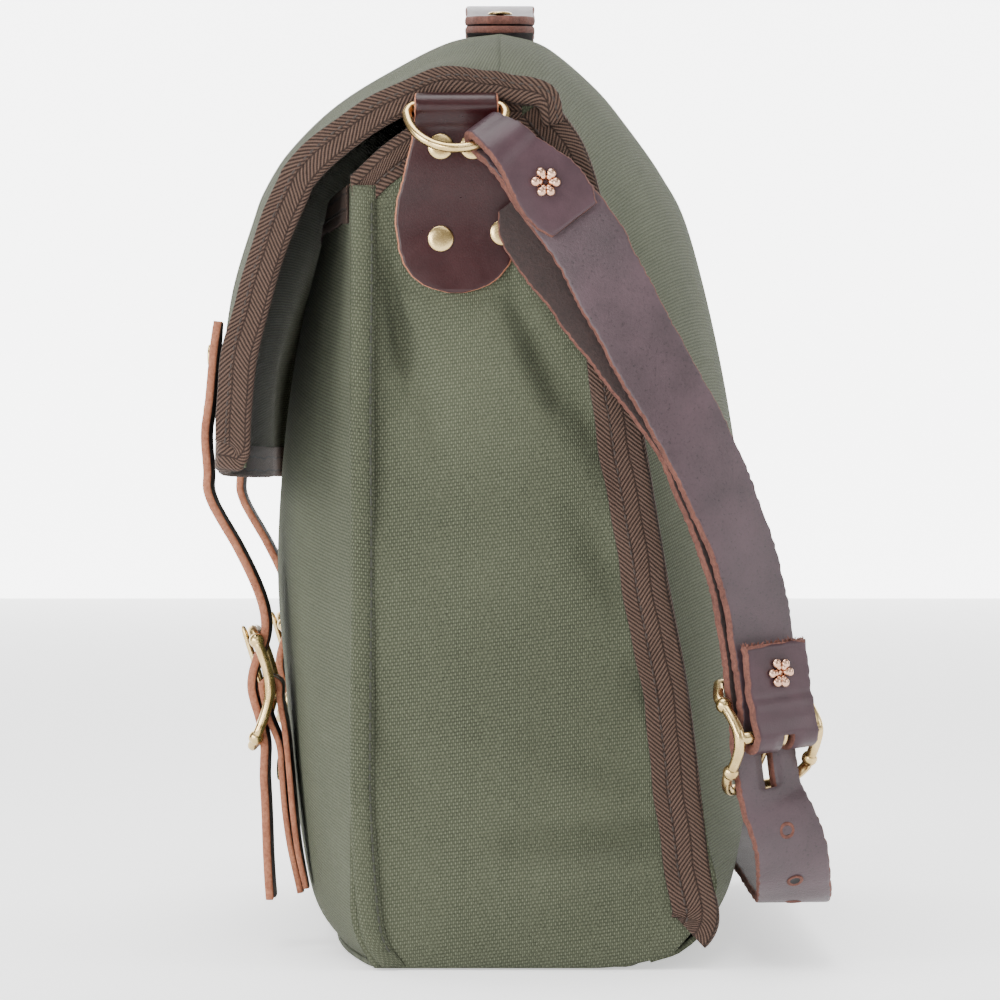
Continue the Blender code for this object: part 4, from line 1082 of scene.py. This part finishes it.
def leather(name, points, normals, widths, thickness, finishes, body, slot, replaces=(),
            slots=(), seed=1, fray=(0.0, 0.0), rough=0.12):
    """A band of leather; widths in millimetres; slots are (place, length) pairs."""
    wander = random.Random(seed)
    phase = [wander.uniform(0, 6.28) for _ in range(4)]
    points, normals, widths = resample(points, normals, widths)
    frames = square_frames(points, normals)
    down = lengths_along(points)
    rows = len(points)
    open_rows = set()
    for place, length in slots:
        near = min(range(rows), key=lambda r: (points[r] - place).length)
        open_rows |= {r for r in range(rows - 1)
                      if abs(down[r] + 0.6 * MM - down[near]) < length / 2}
    h = thickness / 2
    verts, faces, which = [], [], []
    for r, ((p, w, n), width) in enumerate(zip(frames, widths)):
        s = down[r] / MM
        half = width * MM / 2
        left = half + (0.16 * math.sin(s / 4.1 + phase[0]) + wander.uniform(-rough, rough)) * MM
        right = half + (0.16 * math.sin(s / 3.6 + phase[1]) + wander.uniform(-rough, rough)) * MM
        soft = 0.12 * MM * math.sin(s / 7.0 + phase[2])
        slit = min(SLOT_HALF, half * 0.3)
        for level in (1, -1):
            line = [(-left + step * MM, high * h) for step, high in ROUNDING]
            line += [(-left * 0.5, h), (-slit, h), (slit, h), (right * 0.5, h)]
            line += [(right - step * MM, high * h) for step, high in ROUNDING[::-1]]
            for a, b in (line if level > 0 else line[::-1]):
                verts.append(p + w * a + n * (level * b + soft))
        for end, amount in ((0, fray[0]), (rows - 1, fray[1])):
            if r == end and amount:
                tangent = w.cross(n)
                for k in range(SECTION):
                    verts[-1 - k] += tangent * wander.uniform(-amount, amount) * MM
    for r in range(rows - 1):
        base, above = r * SECTION, (r + 1) * SECTION
        for k in range(SECTION):
            m = (k + 1) % SECTION
            if r in open_rows and k in (SLIT_FACE, SLIT_BACK):
                continue
            faces.append((base + k, base + m, above + m, above + k))
            which.append(0 if 2 <= k <= 8 else 2 if 14 <= k <= 20 else 1)
        if r in open_rows:
            for a, b in ((SLIT_FACE, SLIT_BACK + 1), (SLIT_FACE + 1, SLIT_BACK)):
                faces.append((base + a, above + a, above + b, base + b))
                which.append(1)
            for other, at in ((r - 1, base), (r + 1, above)):
                if other not in open_rows:
                    faces.append((at + SLIT_FACE, at + SLIT_FACE + 1,
                                  at + SLIT_BACK, at + SLIT_BACK + 1))
                    which.append(1)
    faces += [tuple(range(end, end + SECTION)) for end in (0, (rows - 1) * SECTION)]
    which += [1, 1]
    return build(name, verts, faces, finishes, body, None, which, replaces)


def nap_finish():
    """The buffed back of the hide: short fibres that shine a little when worn."""
    finish = Finish("strap_nap", roughness=0.5, sheen=0.04)
    speck = finish.noise(1100.0, 3.0, roughness=0.7)
    cloud = finish.noise(60.0, 3.0)
    pit = (0.40 - speck).clamp() * 6.0
    shade = (cloud * 0.9 + speck * 0.5 - pit * 0.5 - 0.2).clamp()
    finish.set({"Base Color": finish.mix(shade, rgba(24, 13, 16), rgba(76, 55, 62)),
                "Roughness": (speck * 0.35 + 0.3).clamp()})
    finish.bump(speck, 0.00022, 0.8)
    return finish.material


strap_nap = nap_finish()
STRAP_FINISHES = [strap_face, strap_edge, strap_nap]
TAB_FINISHES = [tab_face, tab_edge, strap_flesh]
print("leather maker ready")

# %% [markdown]
# A tab folded round the straight bar of each ring is riveted through the mouth of the
# bag.  Its lower half is a broad round lobe, which spreads the pull of the strap.

# %% Tabs for the rings
TAB_LEATHER = 2.2 * MM
RING_BAR = Vector((194.5, -14.5, 288.0)) * MM
WIRE = 1.8 * MM
LOBE = [(226.0, 6), (227.0, 14), (228.5, 22), (231.0, 29), (235.0, 35), (240.0, 39),
        (248.0, 41), (256.0, 40), (262.0, 37)]


def turn(points, normals, sign):
    return flip(points, sign), flip(normals, sign)


def roll_round(path, normals, centre, first, second, radius, angles):
    """Carry a band's line on round a bar, from one direction toward another."""
    for a in map(math.radians, angles):
        way = first * math.cos(a) + second * math.sin(a)
        path.append(centre + way * radius)
        normals.append(way)


low_x = 191.3 * MM
top_x = 193.7 * MM
for side, sign in SIDES.items():
    roll = WIRE + 0.3 * MM + TAB_LEATHER / 2
    path = [Vector((low_x + 2.4 * MM * ease(z, 247, 274), RING_BAR.y, z * MM))
            for z, width in LOBE]
    widths = [width for z, width in LOBE]
    for z, x, width in ((269, top_x - 0.2 * MM, 34), (276, top_x, 30),
                        (282, top_x + 0.4 * MM, 28)):
        path.append(Vector((x, RING_BAR.y, z * MM)))
        widths.append(width)
    normals = [X] * len(path)
    roll_round(path, normals, RING_BAR, X, Z, roll, spread(-10, 190, 9))
    widths += [28] * 9
    for z, width in ((281.0, 28), (276.0, 28), (270.5, 26)):
        path.append(Vector((low_x, RING_BAR.y, z * MM)))
        normals.append(-X)
        widths.append(width)
    leather("ring_tab_leather_" + side, *turn(path, normals, sign), widths, TAB_LEATHER,
            TAB_FINISHES, "bag", "tab_leather", ["ring_tab_" + side], seed=20 + sign)
print("ring tabs")

# %% [markdown]
# Below, a second tab wraps the middle bar of each front buckle.  The closing strap
# comes down off the flap, goes over that bar and under the buckle's ends, and leaves a
# rough tail.

# %% Buckle tabs and closing straps
CLOSURE_X = 100.0 * MM
STRAP_WIDTH = 25.0
CLOSURE_LEATHER = 3.0 * MM
BUCKLE_BAR = Vector((0, -80.45, 91.0)) * MM
FRONT_BAR = 1.75 * MM
INNER_EDGE = CLOSURE_X - STRAP_WIDTH / 2 * MM
CLOSURE_LINE = [(-80.6, 17), (-81.8, 34), (-82.5, 52), (-82.8, 62), (-82.5, 70), (-84.4, 80),
                (-87.2, 90), (-86.4, 98), (-82.4, 110), (-84.0, 122), (-92.0, 140)]
CLOSURE_LIFT = [(158, 0.9), (168, 1.7), (180, 1.7), (190, 0.5), (200, 0.4), (210, 0.4),
                (220, 0.4)]  # height, and how far the strap stands off the flap
FLAP_EDGE = 168  # height of the flap's lower edge, in millimetres


def cloth_y(grid, height):
    """How far forward a cloth stands at a closing strap's inner edge, in millimetres."""
    return lookup(grid, INNER_EDGE, height * MM) / MM


buckle_centre = {}
for side, sign in SIDES.items():
    x = sign * CLOSURE_X
    centre = Vector((x, BUCKLE_BAR.y, BUCKLE_BAR.z))
    buckle_centre[side] = centre
    roll = FRONT_BAR + 0.3 * MM + TAB_LEATHER / 2
    back = [(cloth_y(front_grid, z) - 1.5, z) for z in (20.0, 34.0, 48.0, 62.0, 76.0)]
    back.append(((BUCKLE_BAR.y + roll) / MM, 87.0))
    front = [(cloth_y(front_grid, z) - 4.1, z) for z in (62.0, 48.0, 34.0, 18.5)]
    front = [(-81.3, 81.0), (front[0][0] - 0.9, 71.0)] + front
    path = side_points(x, back)
    normals = [Vector((0, 1, 0.1))] * len(back)
    roll_round(path, normals, centre, Y, Z, roll, spread(10, 175, 9))
    path += side_points(x, front)
    normals += [Vector((0, -1, -0.1))] * len(front)
    widths = [10, 20, 23, 24, 24, 24] + [24] * 9 + [24, 24, 24, 23, 20, 10]
    leather("buckle_tab_leather_" + side, path, normals, widths, TAB_LEATHER,
            TAB_FINISHES, "bag", "tab_leather", ["buckle_tab_" + side],
            slots=[(centre + Vector((0, -0.6, 0.8)) * roll, 11 * MM)], seed=30 + sign)
    line = CLOSURE_LINE + [(cloth_y(flap_grid, max(z, FLAP_EDGE)) - lift - 1.8, z)
                           for z, lift in CLOSURE_LIFT]
    path = profile_curve(line, 40, x)
    widths = [STRAP_WIDTH] * 37 + [STRAP_WIDTH * part for part in (0.95, 0.8, 0.45)]
    leather("closing_strap_" + side, path, [-Y] * 40, widths, CLOSURE_LEATHER,
            [strap_face, tab_edge, strap_flesh], "flap_front", "strap_leather",
            ["closure_strap_" + side], slots=[(Vector((x, -0.0865, 0.0975)), 22 * MM)],
            seed=40 + sign, fray=(0.7, 0.0))
print("buckle tabs and closing straps")

# %% [markdown]
# The carry handle is two strips riveted through the crown: one lies flat, and the
# other arches just enough to get a finger under.

# %% Handle
HANDLE_HALF = 78.0 * MM


CROWN_SIDE, CROWN_RISE = 298.0, 29.0  # height of the crown's side, and its middle's rise


def crown(x, lift):
    """A point above the crown's ridge, lift above the cloth."""
    return Vector((x, 0.0, (CROWN_SIDE + CROWN_RISE * fill(x, FLAP_HALF)) * MM + lift))


xs = spread(-HANDLE_HALF, HANDLE_HALF, 25)
ends = [8, 19] + [STRAP_WIDTH] * 21 + [19, 8]
up = [Z] * len(xs)
arch = [max(0.0, 1 - abs(x / (HANDLE_HALF * 0.72)) ** 3) for x in xs]
for name, low, rise, thickness, node, seed in (
        ("handle_base_leather", 1.7, 0.0, 2.6 * MM, "handle_base", 51),
        ("handle_leather", 4.9, 7.0, 3.0 * MM, "carry_handle", 52)):
    leather(name, [crown(x, (low + rise * share) * MM) for x, share in zip(xs, arch)], up,
            ends, thickness, [strap_face, strap_edge, strap_flesh], "flap_top",
            "strap_leather", [node], seed=seed)
print("handle")

# %% [markdown]
# The shoulder strap is two lengths.  The short one is folded round the ring, riveted
# to itself with a flower rivet, and folded again round the buckle's bar.  The long one
# runs through the buckle, down under the bag, and up to the other ring.

# %% Shoulder strap
SHOULDER_LEATHER = 3.5 * MM
TORN_ROUGH = 0.26  # waver of the shoulder strap's worn edges, in millimetres
RING_RADIUS = 16.3 * MM
RING_WIRE = WIRE * 0.9
RING_DROP = 2.6 * MM
RING_TILT = math.radians(38.0)
EYE_ANGLE = math.radians(45.0)
STRAP_SIDE = [(205.0, 27, 246), (206.0, 47, 209), (206.0, 67, 173), (205.0, 82, 137),
              (204.0, 88, 107), (203.5, 91, 80)]
STRAP_LOW = [(196.6, 89.2, 61), (197.2, 94, 49), (192.0, 97.5, 36), (181.0, 98.5, 27),
             (165.0, 99, 22.5), (120.0, 99, 22), (60.0, 99, 22), (0.0, 99, 22)]
ring_down = Vector((math.sin(RING_TILT), 0, -math.cos(RING_TILT)))
pull = (Y * math.cos(EYE_ANGLE) + ring_down * math.sin(EYE_ANGLE)).normalized()
held = RING_BAR + pull * RING_RADIUS + ring_down * RING_DROP
eye_out = Vector((math.cos(RING_TILT), 0, math.sin(RING_TILT)))


def strap_way(z):
    """The side run faces out at the ring and turns toward the back lower down."""
    a = math.radians(33.0) * min(1.0, max(0.0, (0.250 - z) / 0.110))
    return Vector((math.cos(a), math.sin(a), 0))


def square(points, normals):
    return [n for _, _, n in square_frames(points, normals)]


half_leather = SHOULDER_LEATHER / 2
GAP = 0.3 * MM  # clearance between a strap and what it lies on
eye_line = smooth_curve([held, held + pull * 9 * MM + eye_out * 0.5 * MM,
                         Vector((205.0, 17, 258)) * MM, Vector((205.0, 27, 246)) * MM], 12)
wide = WIRE + GAP + half_leather
near = half_leather + GAP
offsets = [wide, wide, wide * 0.75 + near * 0.25] + [near] * 9
outs = square(eye_line, [eye_out.lerp(X, k / 11) for k in range(12)])
eye_path = [eye_line[k] + outs[k] * offsets[k] for k in range(10, -1, -1)]
eye_normals = [outs[k] for k in range(10, -1, -1)]
fold = held - pull * 1.2 * MM
FOLD_ANGLES = [22.5 * k for k in range(1, 8)]
roll_round(eye_path, eye_normals, fold, eye_out, -pull, wide, FOLD_ANGLES)
eye_path += [eye_line[k] - outs[k] * offsets[k] for k in range(11)]
eye_normals += [-outs[k] for k in range(11)]
eye_widths = [19, 23, 24.5, 25, 24, 22, 20, 18, 17, 15, 14] + [13] * 7
eye_widths += [14, 15, 17, 18, 20, 22, 24, 25, 25, 25, 25]

side_line = smooth_curve([Vector(p) * MM for p in STRAP_SIDE], 34)
inward = square(side_line, [strap_way(p.z) for p in side_line])
main = [p - n * near for p, n in zip(side_line, inward)][1:]
main_normals = [-n for n in inward][1:]
bar_out = inward[-1]
bar_up = (side_line[-2] - side_line[-1]).normalized()
bar_out = (bar_out - bar_up * bar_out.dot(bar_up)).normalized()
bar_across = bar_up.cross(bar_out)
SHOULDER_BAR = 2.0 * MM
bar_centre = main[-1] + bar_out * (half_leather + GAP + SHOULDER_BAR)
short_path = eye_path + main
short_normals = eye_normals + main_normals
fold_radius = SHOULDER_BAR + GAP + half_leather
roll_round(short_path, short_normals, bar_centre, -bar_out, -bar_up, fold_radius, FOLD_ANGLES)
lie = near + half_leather - fold_radius + 0.5 * MM + half_leather
for up_by, out_by in ((0, fold_radius), (4.5, fold_radius - 0.6 * MM), (9, lie + 1.4 * MM),
                      (13, lie), (20, lie), (28, lie), (29.5, lie)):
    short_path.append(bar_centre + bar_up * up_by * MM + bar_out * out_by)
    short_normals.append(bar_out)
short_widths = eye_widths + [STRAP_WIDTH] * (len(short_path) - len(eye_path))
leather("shoulder_strap_short", short_path, short_normals, short_widths, SHOULDER_LEATHER,
        STRAP_FINISHES, "shoulder_strap", "strap_leather", ["strap_short", "strap_eye_right"],
        slots=[(bar_centre - bar_up * (2.5 * MM + fold_radius * 0.5), 13 * MM)], seed=61,
        fray=(0.15, 1.1), rough=TORN_ROUGH)

tail_top = smooth_curve([Vector((197.4, 4, 256)) * MM, Vector((198.6, 22, 233)) * MM,
                         Vector((200.2, 42, 206)) * MM], 10)
inner_side = 2 * half_leather + 2.1 * MM
inner = [p - n * inner_side for p, n in zip(main, inward[1:])]
inner = [p for p in inner if p.z < 0.186]
line = smooth_curve([tail_top[0], tail_top[4], tail_top[8]] + inner[::4] + [inner[-1]]
                    + [Vector(p) * MM for p in STRAP_LOW], 84)
long_normals = []
for p in line:
    under = min(1.0, max(0.0, (0.064 - p.z) / 0.042))
    long_normals.append(strap_way(p.z).lerp(-Z, under ** 1.2))
far, far_normals = turn([p for p in reversed(line[:-1]) if p.z < 0.060],
                        [n for p, n in zip(line[:-1], long_normals) if p.z < 0.060][::-1], -1)
rise, rise_normals = turn(main[:-2][::-1], inward[1:-2][::-1], -1)
far_eye, far_eye_normals = turn(eye_path[::-1], [-n for n in eye_normals[::-1]], -1)
long_path = line + far + rise + far_eye
widths = [11, 20, 24] + [STRAP_WIDTH] * (len(long_path) - 3 - len(far_eye)) + eye_widths[::-1]
long_strap = leather("shoulder_strap_long", long_path,
                     long_normals + far_normals + rise_normals + far_eye_normals, widths,
                     SHOULDER_LEATHER, [strap_nap, strap_edge, strap_flesh], "shoulder_strap",
                     "strap_leather", ["strap_long", "strap_eye_left"],
                     slots=[(bar_centre - bar_up * 8 * MM - bar_out * 9 * MM, 21 * MM)],
                     seed=62, rough=TORN_ROUGH)
# Above the buckle the long strap's tail takes the dark flesh finish on both faces: partly its rough
# back, partly painted shade for the shadow it lies in beside the strap.
for polygon in long_strap.data.polygons:
    at = polygon.center
    if at.x > 0 and at.z > bar_centre.z + 0.004 and polygon.material_index == 0:
        polygon.material_index = 2

# Loose fibres stand up from the torn end above the buckle.
torn = short_path[-1]
wander = random.Random(77)
verts, faces = [], []
for _ in range(90):
    along = wander.uniform(-0.49, 0.49) * STRAP_WIDTH * MM
    root = torn + bar_across * along + bar_out * wander.uniform(-1.5, 1.4) * MM
    way = (bar_up + bar_across * wander.uniform(-0.9, 0.9)
           + bar_out * wander.uniform(-0.3, 0.9)).normalized()
    bend = bar_across * wander.uniform(-0.5, 0.5) * MM
    size = wander.uniform(0.8, 2.3) * MM
    base = len(verts)
    for part, radius in ((-0.5, 0.30), (0.4, 0.22), (0.8, 0.14), (1.0, 0.04)):
        centre = root + way * size * part + bend * part * part
        verts += circle(centre, bar_across, bar_out, radius * MM, 5)
    add_tube(faces, base, 4, 5)
build("torn_end_fibres", verts, faces, [strap_edge], "shoulder_strap")
print("shoulder strap of", round(lengths_along(long_path)[-1], 3), "m and",
      round(lengths_along(short_path)[-1], 3), "m")

# %% [markdown]
# The fittings are wire and turned caps.  Wire is a round section along a smooth path;
# a cap is a profile turned about its axis, flat in the middle where the punch has set
# it.  Cast corners are small balls on the buckle's frame.

# %% Metal makers
def cross_axes(axis):
    helper = Z if abs(axis.z) < 0.8 else X
    first = axis.cross(helper).normalized()
    return first, axis.cross(first).normalized()


def wire(verts, faces, points, radii, closed=False, sides=18):
    """Round wire added to the mesh lists, one radius for each point."""
    base = len(verts)
    count = len(points)
    normal = None
    for i, (p, radius) in enumerate(zip(points, radii)):
        before = points[i - 1] if i or closed else p
        after = points[(i + 1) % count] if closed or i < count - 1 else p
        tangent = (after - before).normalized()
        if normal is None:
            normal = cross_axes(tangent)[0]
        normal = (normal - tangent * normal.dot(tangent)).normalized()
        verts += circle(p, normal, tangent.cross(normal), radius, sides)
    add_tube(faces, base, count, sides)
    if closed:
        del faces[-2:]
        end = base + (count - 1) * sides
        shift = min(range(sides), key=lambda k: (verts[base + k] - verts[end]).length)
        for k in range(sides):
            m = (k + 1) % sides
            faces.append((end + k, end + m, base + (m + shift) % sides,
                          base + (k + shift) % sides))


def turned(verts, faces, at, axis, outline, sides=36):
    """A turned shape: (radius, height) pairs about the axis, closed at both ends."""
    base = len(verts)
    first, second = cross_axes(axis)
    for radius, height in outline:
        verts += circle(at + axis * height, first, second, radius, sides)
    add_tube(faces, base, len(outline), sides)


def ball(verts, faces, at, axis, radius, flat=1.0, sides=14):
    angles = [math.pi * (k / 8 - 0.5) for k in range(9)]
    outline = [(max(radius * math.cos(a), radius * 0.02), radius * flat * math.sin(a))
               for a in angles]
    turned(verts, faces, at, axis, outline, sides)


LARGE_CAP, SMALL_CAP = 4.35 * MM, 4.0 * MM  # radius of a rivet's cap


def fitting(name, verts, faces, replaces, body, finish=brass):
    build(name, verts, faces, [finish], body, replaces=replaces)


def rivet_cap(name, at, axis, radius, replaces, body):
    """A low domed cap with its shank hidden in the leather."""
    verts, faces = [], []
    shank = 1.5 * MM * radius / LARGE_CAP
    outline = [(shank, -1.8 * MM), (shank, -0.25 * MM), (radius * 0.97, -0.2 * MM),
               (radius, 0.05 * MM), (radius * 0.985, 0.30 * MM), (radius * 0.93, 0.52 * MM),
               (radius * 0.82, 0.68 * MM), (radius * 0.6, 0.78 * MM), (radius * 0.3, 0.83 * MM),
               (radius * 0.02, 0.84 * MM)]
    turned(verts, faces, at, axis, outline)
    fitting(name, verts, faces, replaces, body)


PETAL_REACH = 3.5 * MM
PETAL_LIFT = 0.55 * MM


def flower_rivet(name, at, axis, replaces, body):
    """A burst rivet: its tube is split into petals that curl back into round beads."""
    verts, faces = [], []
    first, second = cross_axes(axis)
    wander = random.Random(int(at.z * 10000))
    for k in range(6):
        a = math.pi * k / 3 + wander.uniform(-0.12, 0.12)
        way = first * math.cos(a) + second * math.sin(a)
        size = wander.uniform(1.45, 1.75) * MM
        ball(verts, faces, at + way * PETAL_REACH + axis * PETAL_LIFT, axis, size, 0.72)
        wire(verts, faces, [at + way * 1.2 * MM - axis * 0.3 * MM,
                            at + way * PETAL_REACH * 0.6 + axis * PETAL_LIFT,
                            at + way * PETAL_REACH + axis * 0.5 * MM],
             [0.9 * MM, 1.1 * MM, 0.9 * MM], sides=10)
    turned(verts, faces, at, axis, [(1.8 * MM, -1.6 * MM), (1.8 * MM, 0.1 * MM),
                                    (1.3 * MM, 0.25 * MM), (0.9 * MM, -0.2 * MM),
                                    (0.05 * MM, -0.3 * MM)], 16)
    fitting(name, verts, faces, replaces, body, flower_brass)


print("metal makers ready")

# %% [markdown]
# A D-ring is one straight bar, held in the tab, and one half circle of the same wire.
# The flat rivets beside it go right through the gusset.

# %% Rings and rivets
for side, sign in SIDES.items():
    down = Vector((sign * ring_down.x, 0, ring_down.z))
    centre = Vector((sign * RING_BAR.x, RING_BAR.y, RING_BAR.z))
    loop = [centre + Vector((0, y, 0)) for y in spread(-RING_RADIUS * 0.9, RING_RADIUS * 0.9, 9)]
    for k in range(25):
        a = math.pi * k / 24
        loop.append(centre + Vector((0, RING_RADIUS * math.cos(a), 0))
                    + down * (RING_RADIUS * math.sin(a) + RING_DROP))
    loop = smooth_curve(loop + [loop[0]], 97)[:-1]
    verts, faces = [], []
    wire(verts, faces, loop, [RING_WIRE] * len(loop), closed=True)
    fitting("d_ring_" + side, verts, faces, ["ring_" + side], "ring_" + side)
    for letter, y, z, x in (("a", -19.7, 244.0, low_x), ("b", 1.0, 246.0, low_x),
                            ("c", -19.7, 274.5, top_x), ("d", -9.0, 274.5, top_x)):
        rivet_cap("ring_rivet_cap_%s_%s" % (letter, side),
                  Vector((sign * (x + TAB_LEATHER / 2 + 0.15 * MM), y * MM, z * MM)),
                  X * sign, LARGE_CAP, ["ring_rivet_%s_%s" % (letter, side)], "bag")
    for letter, height in (("low", 187.0), ("high", 208.0)):
        cloth = cloth_y(flap_grid, height)
        rivet_cap("closing_rivet_%s_%s" % (letter, side),
                  Vector((sign * CLOSURE_X, (cloth - 3.95) * MM, height * MM)),
                  -Y, SMALL_CAP, ["closure_rivet_%s_%s" % (letter, side)], "flap_front")
    rivet_cap("buckle_rivet_cap_" + side,
              Vector((sign * CLOSURE_X, (cloth_y(front_grid, 62) - 5.4) * MM, 62 * MM)), -Y,
              SMALL_CAP, ["buckle_rivet_" + side], "bag")
    rivet_cap("handle_rivet_cap_" + side, crown(sign * 68 * MM, 7.2 * MM), Z,
              LARGE_CAP, ["handle_rivet_" + side], "flap_top")
    at = eye_line[6] + outs[6] * (near + half_leather + 0.3 * MM)
    flower_rivet("eye_flower_rivet_" + side, flip([at], sign)[0], flip([outs[6]], sign)[0],
                 ["flower_rivet_eye_" + side], "shoulder_strap")
flower_rivet("buckle_flower_rivet", bar_centre + bar_up * 20 * MM
             + bar_out * (lie + half_leather + 0.3 * MM), bar_out,
             ["flower_rivet_buckle"], "shoulder_strap")
print("rings and rivets")

# %% [markdown]
# The buckles are horseshoe frames with a middle bar.  Both ends stand off the bar, so
# the strap can pass under them, and each corner swells into a small ball.

# %% Buckles and prongs
def buckle_frame(name, centre, across, up, out, rise, half_width, height, bar, replaces, body):
    corner = 4.0 * MM
    loop = [(part * (half_width - corner), height / 2) for part in spread(-1, 1, 5)]
    loop += [(half_width, part * (height / 2 - corner)) for part in spread(1, -1, 10)]
    loop += [(part * (half_width - corner), -height / 2) for part in spread(1, -1, 5)]
    loop += [(-half_width, part * (height / 2 - corner)) for part in spread(-1, 1, 10)]
    path = []
    for a, b in loop:
        bow = min(1.0, abs(b) / (height / 2)) ** 1.6
        path.append(centre + across * a + up * b + out * (rise * bow))
    path = smooth_curve(path + [path[0]], 121)[:-1]
    verts, faces = [], []
    radii = [WIRE * (1.0 + 0.10 * bell(abs((p - centre).dot(up)) / (height / 2), 0.0, 0.2))
             for p in path]
    wire(verts, faces, path, radii, closed=True)
    wire(verts, faces, [centre + across * a for a in spread(-half_width, half_width, 7)],
         [bar] * 7)
    for a in (-1, 1):
        for b in (-1, 1):
            at = min(path, key=lambda p, a=a, b=b: (p - centre - across * a * half_width
                                                    - up * b * height / 2).length)
            ball(verts, faces, at, up, WIRE * 1.5, 1.0)
    fitting(name, verts, faces, replaces, body)


def buckle_prong(name, centre, up, out, bar, tip, replaces, body):
    """Wire rolled round the bar, then straight on, thinner toward its tip."""
    radius = 1.1 * MM
    curl = bar + 0.3 * MM + radius
    start = math.atan2(tip[1], tip[0])
    path = []
    for k in range(25):
        a = start - math.radians(8) - math.radians(275) * (1 - k / 24) + math.radians(80)
        path.append(centre + (up * math.cos(a) + out * math.sin(a)) * curl)
    end = centre + up * tip[0] * MM + out * tip[1] * MM
    leave = path[-1]
    path += [leave.lerp(end, part) for part in (0.15, 0.3, 0.5, 0.7, 0.85, 0.95, 1.0)]
    radii = [radius] * 25 + [radius * part for part in (1.05, 1.1, 1.08, 1.0, 0.95, 0.8, 0.4)]
    verts, faces = [], []
    wire(verts, faces, path, radii, sides=16)
    fitting(name, verts, faces, replaces, body)


for side, sign in SIDES.items():
    centre = buckle_centre[side]
    buckle_frame("front_buckle_" + side, centre, X, Z,
                 -Y, 6.3 * MM, 15 * MM, 40 * MM, FRONT_BAR,
                 ["buckle_frame_" + side], "bag")
    buckle_prong("front_prong_" + side, centre, Z, -Y,
                 FRONT_BAR, (21.5, 10.4), ["prong_" + side], "prong_" + side)
buckle_frame("strap_buckle", bar_centre, bar_across, bar_up, -bar_out, 14.6 * MM, 16 * MM,
             35 * MM, SHOULDER_BAR, ["shoulder_buckle_frame"], "shoulder_strap")
buckle_prong("strap_prong", bar_centre, -bar_up, -bar_out, SHOULDER_BAR, (19.5, 20.6),
             ["shoulder_prong"], "shoulder_prong")
print("buckles and prongs")

# %% [markdown]
# The long strap is punched with adjusting holes.  Each is a slightly raised, crushed rim
# sunk a little into the leather, round a flat near-black disc: painted shade standing in
# for the depth of the hole.

# %% Adjusting holes
hole_painted_shade = thread_finish("hole_shadow", rgba(12, 8, 8), rgba(5, 3, 3))
hole_line, hole_normals, _ = resample(line, long_normals, [1.0] * len(line))
hole_down = lengths_along(hole_line)
start = min(range(len(hole_line)), key=lambda k: abs(hole_line[k].z - 0.0475)
            + (0 if hole_line[k].z < 0.06 else 1))
verts, faces = [], []
hole_normals = square(hole_line, hole_normals)
for step in (0.0, 19.0, 38.0):
    k = min(range(len(hole_line)), key=lambda j: abs(hole_down[j] - hole_down[start]
                                                    - step * MM))
    turned(verts, faces, hole_line[k] + hole_normals[k] * half_leather, hole_normals[k],
           [(2.0 * MM, -0.6 * MM), (2.9 * MM, 0.0), (2.5 * MM, 0.32 * MM), (2.0 * MM, 0.34 * MM),
            (1.7 * MM, 0.05 * MM), (0.05 * MM, 0.02 * MM)], 20)
# The dark middle band and caps carry the hole's painted shade.
rim = [0] * 80 + [1] * 22  # four bands of leather, then the dark hole and its caps
build("adjusting_holes", verts, faces, [strap_edge, hole_painted_shade], "shoulder_strap",
      None, rim * 3)
print("three adjusting holes")

# %% [markdown]

# %% End
print("all pieces built")
